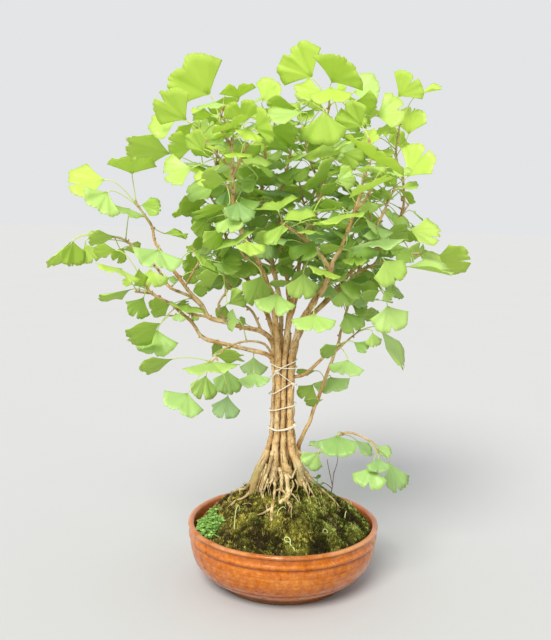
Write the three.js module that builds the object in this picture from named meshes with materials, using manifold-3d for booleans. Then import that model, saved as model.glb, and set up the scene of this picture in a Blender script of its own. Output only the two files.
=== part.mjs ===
// Ginkgo bonsai: a clump of young ginkgo saplings, tied into one trunk with
// twine, growing over moss in a round glazed pot.
// Millimetres, +Z up. Origin: centre of the pot's underside.
import * as THREE from 'three';
import { mergeVertices } from 'three/addons/utils/BufferGeometryUtils.js';
import Module from 'manifold-3d';

const wasm = await Module();
wasm.setup();

// ---------------------------------------------------------------- dimensions
const POT_HEIGHT = 88;
const POT_RADIUS = 135;
const FOOT_RADIUS = 90;
const FLOOR_THICKNESS = 8;
const POT_SIDES = 28;
const HOLE_RADIUS = 7;
const HOLE_OFFSET = 46;
const SCREEN_SIDE = 24;
const SCREEN_THICKNESS = 1;
const GAP = 0.3;
const HOLE_ROOM = 0.45;
const ROOT_DEPTH = 4.5;

const MOSS_RADIUS = 122.4;
const MOSS_THICKNESS = 9;
const MOSS_LEVEL = 82;
const MOUND_HEIGHT = 68;
const MOUND_SPREAD = 75;
const MOUND_POWER = 2.6;
const EDGE_START = 70;
const EDGE_DROP = 16;
const MOSS_RINGS = [0, 32, 60, 92, 114, MOSS_RADIUS];
const MOSS_SIDES = 22;

const TWINE_RADIUS = 0.9;
const TWINE_STEPS = 12;
const KNOT_RADIUS = 2.2;

const BLADE_THICKNESS = 0.8;
const BLADE_ROOT = 1.1;
const BLADE_RATIO = 0.66;
const BLADE_WIDEST = 82;
const PETIOLE_RADIUS = 0.8;
const PETIOLE_SHORTEST = 16;
const BLADE_CLEARANCE = 1.0;
const WOOD_SIDES = 5;
const LIMB_SIDES = 4;
const ROOT_SIDES = 4;
const ROOT_FIRST = 2.5;
const ROOT_STEP = 3;
const FREE_LEAVES_PER_SPUR = 2;
const FREE_LEAF_LIMIT = 38;
// A leaf seen broad keeps every outer point of its blade, another only a few.
const SEEN_BROAD = 40;
const EVERY_POINT = [0, 1, 2, 3, 4, 5, 6];
const FEW_POINTS = [0, 2, 3, 4, 6];

// The tree is drawn as it looks from the front: a point is [across, up, depth].
// Across and up are read on the plane y = 0 from the eye point below, and the
// point then slides along its sight line to y = depth.
const EYE = [0, -1200, 548];

// ------------------------------------------------------------------- vectors
const add = (a, b) => [a[0] + b[0], a[1] + b[1], a[2] + b[2]];
const sub = (a, b) => [a[0] - b[0], a[1] - b[1], a[2] - b[2]];
const scale = (a, k) => [a[0] * k, a[1] * k, a[2] * k];
const dot = (a, b) => a[0] * b[0] + a[1] * b[1] + a[2] * b[2];
const cross = (a, b) => [
  a[1] * b[2] - a[2] * b[1],
  a[2] * b[0] - a[0] * b[2],
  a[0] * b[1] - a[1] * b[0],
];
const length = (a) => Math.sqrt(dot(a, a));
const unit = (a) => scale(a, 1 / length(a));
const span = (a, b) => length(sub(a, b));

function sight(across, up, depth) {
  const reach = (depth - EYE[1]) / -EYE[1];
  return [EYE[0] + (across - EYE[0]) * reach, depth, EYE[2] + (up - EYE[2]) * reach];
}

function drawing(point) {
  const reach = (point[1] - EYE[1]) / -EYE[1];
  return [EYE[0] + (point[0] - EYE[0]) / reach, EYE[2] + (point[2] - EYE[2]) / reach];
}

// A seeded stream of numbers from 0 to 1.
function stream(seed) {
  let state = seed >>> 0;
  return () => {
    state = (state + 0x6d2b79f5) >>> 0;
    let t = state;
    t = Math.imul(t ^ (t >>> 15), t | 1);
    t ^= t + Math.imul(t ^ (t >>> 7), t | 61);
    return ((t ^ (t >>> 14)) >>> 0) / 4294967296;
  };
}

// -------------------------------------------------------------- closed solids
function meshOf(points, faces) {
  const geometry = new THREE.BufferGeometry();
  geometry.setAttribute('position', new THREE.Float32BufferAttribute(points.flat(), 3));
  geometry.setIndex(faces.flat());
  return geometry;
}

function solidOf(geometry) {
  const plain = geometry.clone();
  plain.deleteAttribute('normal');
  plain.deleteAttribute('uv');
  const merged = mergeVertices(plain, 1e-3);
  const source = new wasm.Mesh({
    numProp: 3,
    vertProperties: new Float32Array(merged.attributes.position.array),
    triVerts: new Uint32Array(merged.index.array),
  });
  return new wasm.Manifold(source);
}

function geometryOf(solid) {
  const mesh = solid.getMesh();
  const geometry = new THREE.BufferGeometry();
  geometry.setAttribute('position', new THREE.Float32BufferAttribute(mesh.vertProperties, 3));
  geometry.setIndex(new THREE.Uint32BufferAttribute(mesh.triVerts, 1));
  return geometry;
}

function joined(solids) {
  return solids.reduce((sum, solid) => sum.add(solid));
}

// A closed tube through points [x, y, z, radius], with flat ends.
function tube(path, sides) {
  const points = [];
  const faces = [];
  let side = null;
  path.forEach((p, i) => {
    const before = path[Math.max(i - 1, 0)];
    const after = path[Math.min(i + 1, path.length - 1)];
    const along = unit(sub(after, before));
    const hint = side ?? (Math.abs(along[2]) > 0.9 ? [1, 0, 0] : [0, 0, 1]);
    side = unit(sub(hint, scale(along, dot(hint, along))));
    const other = cross(along, side);
    for (let k = 0; k < sides; k += 1) {
      const turn = (2 * Math.PI * k) / sides;
      const out = add(scale(side, Math.cos(turn)), scale(other, Math.sin(turn)));
      points.push(add(p.slice(0, 3), scale(out, p[3])));
    }
  });
  for (let i = 0; i + 1 < path.length; i += 1) {
    for (let k = 0; k < sides; k += 1) {
      const a = i * sides + k;
      const b = i * sides + ((k + 1) % sides);
      faces.push([a, b, b + sides], [a, b + sides, a + sides]);
    }
  }
  const last = (path.length - 1) * sides;
  for (let k = 1; k + 1 < sides; k += 1) {
    faces.push([0, k + 1, k], [last, last + k, last + k + 1]);
  }
  return meshOf(points, faces);
}

function turned(profile, sides) {
  const outline = profile.map(([r, z]) => new THREE.Vector2(r, z));
  return new THREE.LatheGeometry(outline, sides).rotateX(Math.PI / 2);
}

// ----------------------------------------------------------------- the leaves
// A blade's outer points in widths: across from its middle, along from its root.
function bladeOutline(draw) {
  const corner = 0.25 + 0.14 * draw();
  const shoulder = 0.5 + 0.06 * draw();
  const crown = BLADE_RATIO;
  const notch = draw() < 0.6 ? 0.42 + 0.14 * draw() : 0.6 + 0.04 * draw();
  const lean = 0.06 * (draw() - 0.5);
  return [
    [-0.5, corner + lean],
    [-0.41, shoulder + lean],
    [-0.2, crown],
    [0, notch],
    [0.2, crown],
    [0.41, shoulder - lean],
    [0.5, corner - lean],
  ];
}

// How far each outer point stands out of the blade's plane, in widths.
function bladeWaves(draw) {
  const droop = 0.07 * (draw() - 0.2);
  const curl = 0.16 * (draw() - 0.4);
  const ripple = 0.05 * (draw() - 0.5);
  const signs = [0, 1, -1, 0, 1, -1, 0];
  const wide = [1, 0.67, 0.16, 0, 0.16, 0.67, 1];
  return signs.map((s, i) => ripple * s - curl * wide[i] - droop);
}

function leafFrom(base, along, across, width, reach, draw, kept) {
  const normal = cross(along, across);
  const stretch = reach / (BLADE_RATIO * width);
  const outline = bladeOutline(draw);
  const waves = bladeWaves(draw);
  const edge = kept.map((i) => {
    const [s, t] = outline[i];
    const flat = add(scale(across, s * width), scale(along, t * width * stretch));
    return add(base, add(flat, scale(normal, waves[i] * width)));
  });
  return { base, along, across, normal, width, edge };
}

// One leaf as a single closed solid: a three-sided petiole and a thin fan blade
// whose upper and lower faces are split alike.
function leafSolid(leaf) {
  const { base, along, across, normal, edge, petiole } = leaf;
  const half = BLADE_THICKNESS / 2;
  const ends = petiole.slice(0, -1).map((p, i) => [p, unit(sub(petiole[i + 1], p))]);
  const points = ends.flatMap(([p, run]) => {
    const flat = sub(across, scale(run, dot(across, run)));
    const wide = unit(length(flat) > 0.2 ? flat : sub(normal, scale(run, dot(normal, run))));
    const tall = cross(run, wide);
    const r = PETIOLE_RADIUS;
    return [
      add(p, add(scale(wide, r), scale(tall, r / 2))),
      add(p, add(scale(wide, -r), scale(tall, r / 2))),
      add(p, scale(tall, -r)),
    ];
  });
  points.push(add(base, add(scale(across, BLADE_ROOT), scale(normal, half))));
  points.push(add(base, add(scale(across, -BLADE_ROOT), scale(normal, half))));
  points.push(add(base, scale(normal, -half - 0.2)));
  const faces = [[0, 2, 1]];
  for (let i = 0; i < ends.length; i += 1) {
    for (let k = 0; k < 3; k += 1) {
      const a = 3 * i + k;
      const b = 3 * i + ((k + 1) % 3);
      faces.push([a, b, b + 3], [a, b + 3, a + 3]);
    }
  }
  const right = points.length - 3;
  const left = points.length - 2;
  const under = points.length - 1;
  const top = points.length;
  const bottom = top + edge.length;
  edge.forEach((p) => points.push(add(p, scale(normal, half))));
  edge.forEach((p) => points.push(add(p, scale(normal, -half))));
  const end = edge.length - 1;
  const middle = end / 2;
  for (let i = 0; i < end; i += 1) {
    faces.push([i < middle ? left : right, top + i, top + i + 1]);
    faces.push([under, bottom + i + 1, bottom + i]);
    faces.push([top + i, bottom + i, bottom + i + 1], [top + i, bottom + i + 1, top + i + 1]);
  }
  faces.push([left, top + middle, right]);
  faces.push([left, under, bottom], [left, bottom, top]);
  faces.push([right, top + end, bottom + end], [right, bottom + end, under]);
  return meshOf(points, faces);
}

// ------------------------------------------------------- keeping things apart
function segmentGap(p, q, a, b) {
  const u = sub(q, p);
  const v = sub(b, a);
  const w = sub(p, a);
  const uu = dot(u, u);
  const vv = dot(v, v);
  const uv = dot(u, v);
  const uw = dot(u, w);
  const vw = dot(v, w);
  const spread = uu * vv - uv * uv;
  const clamp = (x) => Math.min(1, Math.max(0, x));
  let s = spread > 1e-9 ? clamp((uv * vw - vv * uw) / spread) : 0;
  const t = clamp((uv * s + vw) / vv);
  s = clamp((uv * t - uw) / uu);
  return length(sub(add(w, scale(u, s)), scale(v, t)));
}

function pierces(p, q, [a, b, c]) {
  const run = sub(q, p);
  const ab = sub(b, a);
  const ac = sub(c, a);
  const h = cross(run, ac);
  const det = dot(ab, h);
  if (Math.abs(det) < 1e-9) return false;
  const from = sub(p, a);
  const u = dot(from, h) / det;
  if (u < 0 || u > 1) return false;
  const g = cross(from, ab);
  const v = dot(run, g) / det;
  if (v < 0 || u + v > 1) return false;
  const t = dot(ac, g) / det;
  return t >= 0 && t <= 1;
}

// A body for the clearance tests is its rods [p, q, radius] and its sheets.
function bodyOf(rods, sheets) {
  const ends = rods.flatMap(([p, q]) => [p, q]);
  const centre = scale(ends.reduce(add), 1 / ends.length);
  const reach = Math.max(...ends.map((e) => span(e, centre)));
  return { rods, sheets, centre, reach };
}

function bladeBody({ base, edge }) {
  const half = BLADE_THICKNESS / 2;
  const rays = edge.map((e) => [base, e, half]);
  const rims = edge.slice(1).map((e, i) => [edge[i], e, half]);
  const sheets = edge.slice(1).map((e, i) => [base, edge[i], e]);
  return bodyOf([...rays, ...rims], sheets);
}

function pathBody(points, radius) {
  return bodyOf(points.slice(1).map((p, i) => [points[i], p, radius]), []);
}

function meet(one, two) {
  if (span(one.centre, two.centre) > one.reach + two.reach + 8) return false;
  const tooNear = one.rods.some(([p, q, r]) => two.rods.some(
    ([a, b, s]) => segmentGap(p, q, a, b) < r + s + BLADE_CLEARANCE,
  ));
  return tooNear
    || one.rods.some(([p, q]) => two.sheets.some((sheet) => pierces(p, q, sheet)))
    || two.rods.some(([p, q]) => one.sheets.some((sheet) => pierces(p, q, sheet)));
}

function isClear(leaf, leaves, wood) {
  const stands = wood.every((rod) => !meet(leaf.blade, rod)
    && (rod.plant === leaf.plant || !meet(leaf.stalk, rod)));
  return stands && leaves.every((other) => !meet(leaf.blade, other.blade)
    && !meet(leaf.blade, other.stalk) && !meet(leaf.stalk, other.blade)
    && (leaf.plant === other.plant || !meet(leaf.stalk, other.stalk)));
}

// --------------------------------------------------------------- the saplings
// stand: the stem from the ground up to the top of the tied trunk, [x, y, z, radius].
// rise and limbs: the branches above it, drawn as [across, up, depth, radius].
// roots: [x, y, z, radius], from inside the stem's foot to under the moss.
const SAPLINGS = [
  {
    name: 'sapling_01',
    stand: [
      [-47, -19, 108, 3.6],
      [-43.4, -17, 137, 5.4],
      [-41.2, -16, 147, 6.0],
      [-38, -14, 158.5, 6.2],
      [-32.2, -11.5, 170, 5.9],
      [-24, -8, 190, 4.4],
      [-19, -6, 216, 3.6],
      [-19, -6, 318, 3.5],
    ],
    rise: [
      [-27, 325, -12, 3.3],
      [-51, 331, -20, 3.0],
      [-84, 338, -30, 2.8],
      [-116, 347, -38, 2.6],
      [-128, 361, -42, 2.4],
      [-140, 375, -46, 2.2],
      [-159, 392, -52, 2.0],
      [-188, 407, -56, 1.9],
      [-200, 422, -60, 1.3],
    ],
    limbs: [
      [
        [-19, 322, -7, 1.8], [-30, 339, -14, 1.7], [-58, 343, -34, 1.5], [-82, 334, -46, 1.4],
        [-110, 309, -54, 1.3],
      ],
      [[-188, 407, -56, 1.5], [-211, 409, -66, 1.2]],
      [[-140, 375, -46, 1.6], [-165, 377, -70, 1.3]],
    ],
    roots: [
      [
        [-43, -17, 140, 3.0], [-49.9, -20, 129.5, 2.2], [-57.3, -23, 124.4, 1.8],
        [-65.4, -22, 120.7, 1.8], [-70.9, -27, 117.5, 2.0], [-77.7, -28, 111, 1.6],
        [-84, -30, 100, 1.3],
      ],
    ],
  },
  {
    name: 'sapling_02',
    stand: [
      [-48, 13, 96, 4.0],
      [-42, 11, 128, 4.8],
      [-31, 7, 158, 4.8],
      [-21, 4, 190, 4.2],
      [-16.5, 3, 216, 3.8],
      [-16.5, 3, 318, 3.8],
    ],
    rise: [
      [-21, 343, 2, 3.8],
      [-35, 357, -4, 3.7],
      [-63, 363, -12, 3.4],
      [-85, 369, -18, 3.2],
      [-109, 376, -22, 3.0],
      [-118, 390, -26, 2.8],
      [-142, 418, -34, 2.5],
      [-161, 444, -38, 2.2],
      [-180, 474, -42, 1.9],
      [-190, 502, -40, 1.7],
      [-211, 532, -36, 1.4],
    ],
    limbs: [
      [
        [-118, 390, -26, 2.4], [-133, 403, -18, 2.2], [-164, 417, -8, 2.1],
        [-180, 441, 0, 1.9], [-202, 462, 8, 1.8], [-226, 480, 14, 1.6], [-250, 486, 20, 1.3],
      ],
      [[-109, 376, -22, 1.9], [-136, 381, -34, 1.7], [-152, 388, -44, 1.4]],
      [[-142, 418, -34, 1.6], [-129, 442, -50, 1.4], [-122, 458, -58, 1.3], [-133, 467, -64, 1.1]],
      [[-85, 369, -18, 1.7], [-96, 392, -50, 1.5], [-84, 414, -70, 1.3]],
      [
        [-35, 357, -4, 2.0], [-50, 386, 18, 1.8], [-64, 397, 26, 1.6], [-84, 425, 40, 1.4],
        [-92, 452, 46, 1.2],
      ],
    ],
    roots: [],
  },
  {
    name: 'sapling_03',
    stand: [
      [-15, -20, 112, 2.4],
      [-14.4, -18.5, 139, 2.8],
      [-14, -17.5, 149, 5.6],
      [-14, -17, 157, 6.4],
      [-13, -15.2, 170, 6.3],
      [-12.5, -13, 186, 5.0],
      [-11.5, -11, 216, 4.5],
      [-11.5, -11, 318, 4.4],
    ],
    rise: [
      [-16, 362, -16, 4.0],
      [-22, 405, -24, 3.8],
      [-38, 446, -34, 3.6],
      [-51, 472, -42, 3.2],
      [-67, 497, -48, 3.0],
      [-75, 520, -52, 2.8],
      [-78, 557, -56, 2.5],
      [-79, 580, -58, 2.3],
      [-79, 603, -60, 1.8],
      [-80, 620, -62, 1.4],
    ],
    limbs: [
      [
        [-79, 580, -58, 1.8], [-91, 588, -66, 1.4], [-100, 597, -72, 1.3],
        [-116, 616, -60, 1.2], [-128, 632, -50, 1.1],
      ],
      [[-78, 568, -57, 1.7], [-68, 592, -66, 1.5], [-58, 612, -74, 1.2]],
      [[-77, 545, -55, 1.6], [-87, 558, -78, 1.3]],
      [[-79, 603, -60, 1.5], [-96, 638, -46, 1.3], [-92, 661, -38, 1.1]],
      [[-67, 497, -48, 1.9], [-92, 520, -8, 1.6], [-112, 548, 22, 1.4], [-120, 580, 34, 1.2]],
      [[-38, 446, -34, 1.7], [-62, 462, -72, 1.4], [-72, 478, -94, 1.2]],
      [[-67, 497, -48, 1.6], [-88, 508, -78, 1.2]],
    ],
    roots: [
      [
        [-14.6, -19, 152, 3.0], [-12, -34, 146.3, 2.0], [-12.5, -41, 139.2, 1.9],
        [-13, -45, 133.5, 1.9], [-14.7, -55, 127.5, 2.1], [-15.5, -64, 122.5, 2.4],
        [-15.8, -73, 117.8, 2.1], [-14.5, -80, 113.5, 1.6], [-13, -88, 104, 1.2],
      ],
    ],
  },
  {
    name: 'sapling_04',
    stand: [
      [4, -22, 112, 2.4],
      [3, -20, 142, 2.8],
      [2, -18, 153, 4.6],
      [0.6, -17, 163, 5.8],
      [-2, -14, 188, 4.4],
      [-2.8, -12, 216, 3.9],
      [-2.8, -12, 318, 3.8],
    ],
    rise: [
      [3, 374, -12, 3.6],
      [12, 410, -6, 3.4],
      [22, 452, 2, 3.2],
      [27, 470, 6, 3.0],
      [32, 506, 10, 2.8],
      [38, 534, 10, 2.5],
      [44, 556, 10, 2.3],
      [46, 582, 10, 2.0],
      [46, 622, 8, 1.6],
      [49, 672, 4, 1.2],
    ],
    limbs: [
      [[46, 582, 10, 1.6], [55, 610, 2, 1.3]],
      [[44, 556, 10, 1.7], [26, 590, -8, 1.4], [14, 634, -30, 1.1]],
      [[32, 506, 10, 1.9], [18, 536, 40, 1.5], [10, 570, 62, 1.2]],
      [[46, 622, 8, 1.5], [64, 648, -8, 1.3], [76, 664, -14, 1.1]],
    ],
    roots: [
      [
        [-1, -19, 162, 3.2], [4, -31, 160, 3.0], [5.1, -36, 152.1, 3.0], [5.9, -42, 144.7, 2.9],
        [6.5, -48, 140.4, 3.1], [3.5, -50, 134.2, 3.6], [-2.4, -52, 131.5, 3.6],
        [-6, -54, 125, 2.4],
      ],
    ],
  },
  {
    name: 'sapling_05',
    stand: [
      [-9.5, -2, 98, 3.8],
      [-8.5, -2, 170, 4.2],
      [-8, -1.8, 216, 4.1],
      [-8, -1.8, 322, 4.0],
    ],
    rise: [
      [-12, 400, 6, 3.6],
      [-22, 450, 20, 3.2],
      [-36, 500, 36, 2.8],
      [-38, 560, 44, 2.3],
      [-34, 610, 46, 1.8],
      [-30, 650, 40, 1.3],
    ],
    limbs: [
      [[-22, 450, 20, 1.9], [-45, 470, 52, 1.6], [-66, 500, 78, 1.3]],
      [[-38, 560, 44, 1.7], [-58, 585, 70, 1.4], [-80, 612, 86, 1.1]],
      [[-34, 610, 46, 1.5], [-12, 638, 62, 1.2], [2, 660, 74, 1.1]],
    ],
    roots: [],
  },
  {
    name: 'sapling_06',
    stand: [
      [2.5, -3, 98, 3.8],
      [1.5, -2.8, 170, 4.2],
      [1.2, -2.6, 216, 4.0],
      [1.2, -2.6, 322, 3.9],
    ],
    rise: [
      [2, 380, 16, 3.4],
      [-2, 430, 34, 3.1],
      [-12, 480, 52, 2.7],
      [-14, 530, 66, 2.2],
      [-6, 580, 78, 1.8],
      [4, 622, 86, 1.3],
    ],
    limbs: [
      [[-12, 480, 52, 1.8], [12, 506, 84, 1.5], [26, 530, 104, 1.2]],
      [[-14, 530, 66, 1.6], [-40, 548, 92, 1.3], [-60, 560, 108, 1.1]],
      [[-2, 430, 34, 1.8], [14, 452, 62, 1.4], [30, 468, 80, 1.1]],
    ],
    roots: [],
  },
  {
    name: 'sapling_07',
    stand: [
      [28, -20, 96, 5.0],
      [25, -17.5, 138, 6.6],
      [20, -14.5, 166, 6.2],
      [11, -11.8, 192, 5.0],
      [6.8, -10.2, 216, 4.9],
      [6.8, -10.2, 318, 4.8],
    ],
    rise: [
      [14, 358, -18, 4.6],
      [24, 383, -26, 4.4],
      [40, 408, -34, 4.2],
      [52, 428, -40, 4.0],
      [57, 446, -44, 3.8],
      [62, 458, -48, 3.0],
      [71, 476, -56, 2.7],
      [79, 500, -62, 2.4],
      [87, 524, -68, 2.1],
      [94, 550, -72, 1.9],
      [101, 577, -76, 1.6],
      [107, 592, -78, 1.3],
    ],
    limbs: [
      [[57, 446, -44, 3.2], [35, 474, -62, 2.9], [16, 490, -74, 2.3], [-12, 508, -88, 1.6]],
      [[87, 524, -68, 1.6], [106, 548, -94, 1.4], [112, 570, -106, 1.2]],
      [[16, 490, -74, 1.5], [26, 508, -100, 1.2]],
      [[40, 408, -34, 1.8], [39, 400, -66, 1.5], [36, 394, -88, 1.3]],
      [[107, 592, -78, 1.3], [104, 622, -74, 1.1]],
    ],
    roots: [
      [
        [23.5, -17, 152, 2.8], [27.9, -26, 149.3, 1.9], [30.2, -29, 143.2, 1.7],
        [33.1, -31, 136.8, 1.6], [36, -39, 131.4, 1.5], [38.9, -44, 126.1, 1.4],
        [41.4, -49, 122.6, 1.3], [44, -56, 113, 1.2],
      ],
    ],
  },
  {
    name: 'sapling_08',
    stand: [
      [37, 5, 96, 3.6],
      [33, 4, 130, 4.6],
      [24, 3, 160, 4.8],
      [15, 2, 188, 4.2],
      [9.8, 1.5, 216, 3.8],
      [9.8, 1.5, 318, 3.7],
    ],
    rise: [
      [18, 361, 2, 3.6],
      [42, 391, 6, 3.4],
      [75, 421, 12, 3.1],
      [93, 437, 16, 2.9],
      [102, 470, 22, 2.6],
      [112, 492, 26, 2.3],
      [119, 508, 30, 2.1],
      [128, 527, 34, 1.8],
      [133, 542, 38, 1.6],
      [142, 561, 42, 1.3],
    ],
    limbs: [
      [
        [8, 294, 1, 2.4], [22, 297, -1, 2.6], [32, 304, -5, 2.4], [47, 319, -11, 2.2],
        [62, 334, -17, 1.8], [76, 343, -21, 1.5],
      ],
      [
        [14, 190, 2, 1.9], [28, 183, 2, 1.8], [45, 184, -2, 1.7], [62, 200, -10, 1.6],
        [84, 216, -18, 1.5], [101, 214, -28, 1.4], [120, 205, -36, 1.3], [133, 188, -40, 1.2],
      ],
      [[112, 492, 26, 1.8], [110, 516, 10, 1.5], [107, 537, -2, 1.3], [99, 547, -8, 1.1]],
      [[75, 421, 12, 2.0], [92, 440, -26, 1.8], [112, 452, -50, 1.5], [128, 457, -66, 1.3]],
      [[93, 437, 16, 1.8], [108, 434, -8, 1.5], [127, 422, -28, 1.3]],
      [[102, 470, 22, 1.7], [135, 480, 10, 1.4], [160, 490, 4, 1.2]],
      [[102, 470, 22, 1.5], [108, 484, -26, 1.2]],
    ],
    roots: [
      [
        [25.8, 3.2, 154, 2.4], [45, 1, 140.5, 2.0], [59, -3, 128.5, 1.7], [71, -7, 119.5, 1.4],
        [82, -10, 106, 1.2],
      ],
    ],
  },
  {
    name: 'sapling_09',
    stand: [
      [21, 38, 98, 3.6],
      [18, 32, 128, 4.4],
      [13, 23, 156, 4.8],
      [8, 15, 186, 4.4],
      [5.9, 10.2, 216, 4.0],
      [5.9, 10.2, 318, 3.8],
    ],
    rise: [
      [26, 372, 20, 3.4],
      [52, 402, 34, 3.2],
      [84, 440, 54, 2.8],
      [120, 476, 74, 2.4],
      [150, 520, 88, 1.9],
      [152, 568, 84, 1.5],
      [140, 600, 72, 1.3],
      [146, 650, 52, 1.1],
    ],
    limbs: [
      [[120, 476, 74, 1.7], [150, 471, 60, 1.4], [184, 470, 44, 1.2]],
      [[84, 440, 54, 1.8], [98, 414, 80, 1.4], [110, 390, 94, 1.1]],
      [[150, 520, 88, 1.4], [166, 545, 108, 1.1]],
    ],
    roots: [
      [
        [13.7, 24.3, 152, 2.2], [28, 43, 136.5, 1.9], [40, 55, 122.5, 1.6], [48, 63, 114.5, 1.3],
        [55, 70, 102, 1.1],
      ],
    ],
  },
  {
    name: 'sapling_10',
    stand: [
      [-3, 38, 98, 3.8],
      [-3, 31, 128, 4.6],
      [-3, 22, 156, 4.8],
      [-3, 13, 186, 4.4],
      [-2.6, 7.6, 216, 4.2],
      [-2.6, 7.6, 318, 3.9],
    ],
    rise: [
      [4, 390, 36, 3.5],
      [12, 430, 72, 3.1],
      [18, 480, 112, 2.6],
      [30, 540, 134, 2.1],
      [44, 600, 130, 1.6],
      [52, 650, 112, 1.2],
    ],
    limbs: [
      [[12, 430, 72, 1.8], [44, 458, 108, 1.5], [70, 486, 134, 1.2]],
      [[18, 480, 112, 1.7], [-10, 512, 150, 1.4], [-26, 548, 168, 1.1]],
      [[30, 540, 134, 1.6], [74, 575, 148, 1.3], [98, 606, 146, 1.1]],
    ],
    roots: [],
  },
  {
    name: 'sapling_11',
    stand: [
      [-31, 37, 98, 3.6],
      [-27, 31, 128, 4.4],
      [-20, 23, 156, 4.8],
      [-14, 15, 186, 4.4],
      [-11.3, 11, 216, 4.0],
      [-11.3, 11, 318, 3.8],
    ],
    rise: [
      [-30, 385, 34, 3.4],
      [-56, 430, 66, 3.0],
      [-84, 480, 96, 2.5],
      [-100, 540, 110, 2.0],
      [-100, 600, 104, 1.5],
      [-90, 644, 92, 1.2],
    ],
    limbs: [
      [[-56, 430, 66, 1.8], [-84, 440, 100, 1.4], [-104, 450, 124, 1.1]],
      [[-84, 480, 96, 1.6], [-118, 500, 92, 1.4], [-142, 522, 80, 1.1]],
      [[-100, 540, 110, 1.6], [-72, 570, 138, 1.3], [-52, 602, 148, 1.1]],
    ],
    roots: [
      [
        [-21, 24.1, 152, 2.3], [-36, 43, 133.5, 1.9], [-46, 56, 120, 1.6], [-53, 65, 111.5, 1.3],
        [-60, 73, 98, 1.1],
      ],
    ],
  },
  {
    name: 'sapling_12',
    stand: [
      [40, 27, 96, 2.8],
      [35, 25, 125, 3.3],
      [27, 22, 152, 3.3],
      [21, 19, 180, 3.1],
    ],
    rise: [
      [21, 200, 18, 3.1],
      [33, 230, 18, 3.0],
      [43, 258, 20, 2.8],
      [55, 294, 22, 2.5],
      [68, 332, 24, 2.2],
      [77, 370, 26, 2.0],
      [82, 396, 28, 1.5],
    ],
    limbs: [
      [[68, 332, 24, 1.5], [84, 348, 6, 1.3], [100, 362, -8, 1.1]],
    ],
    roots: [],
  },
];

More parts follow.
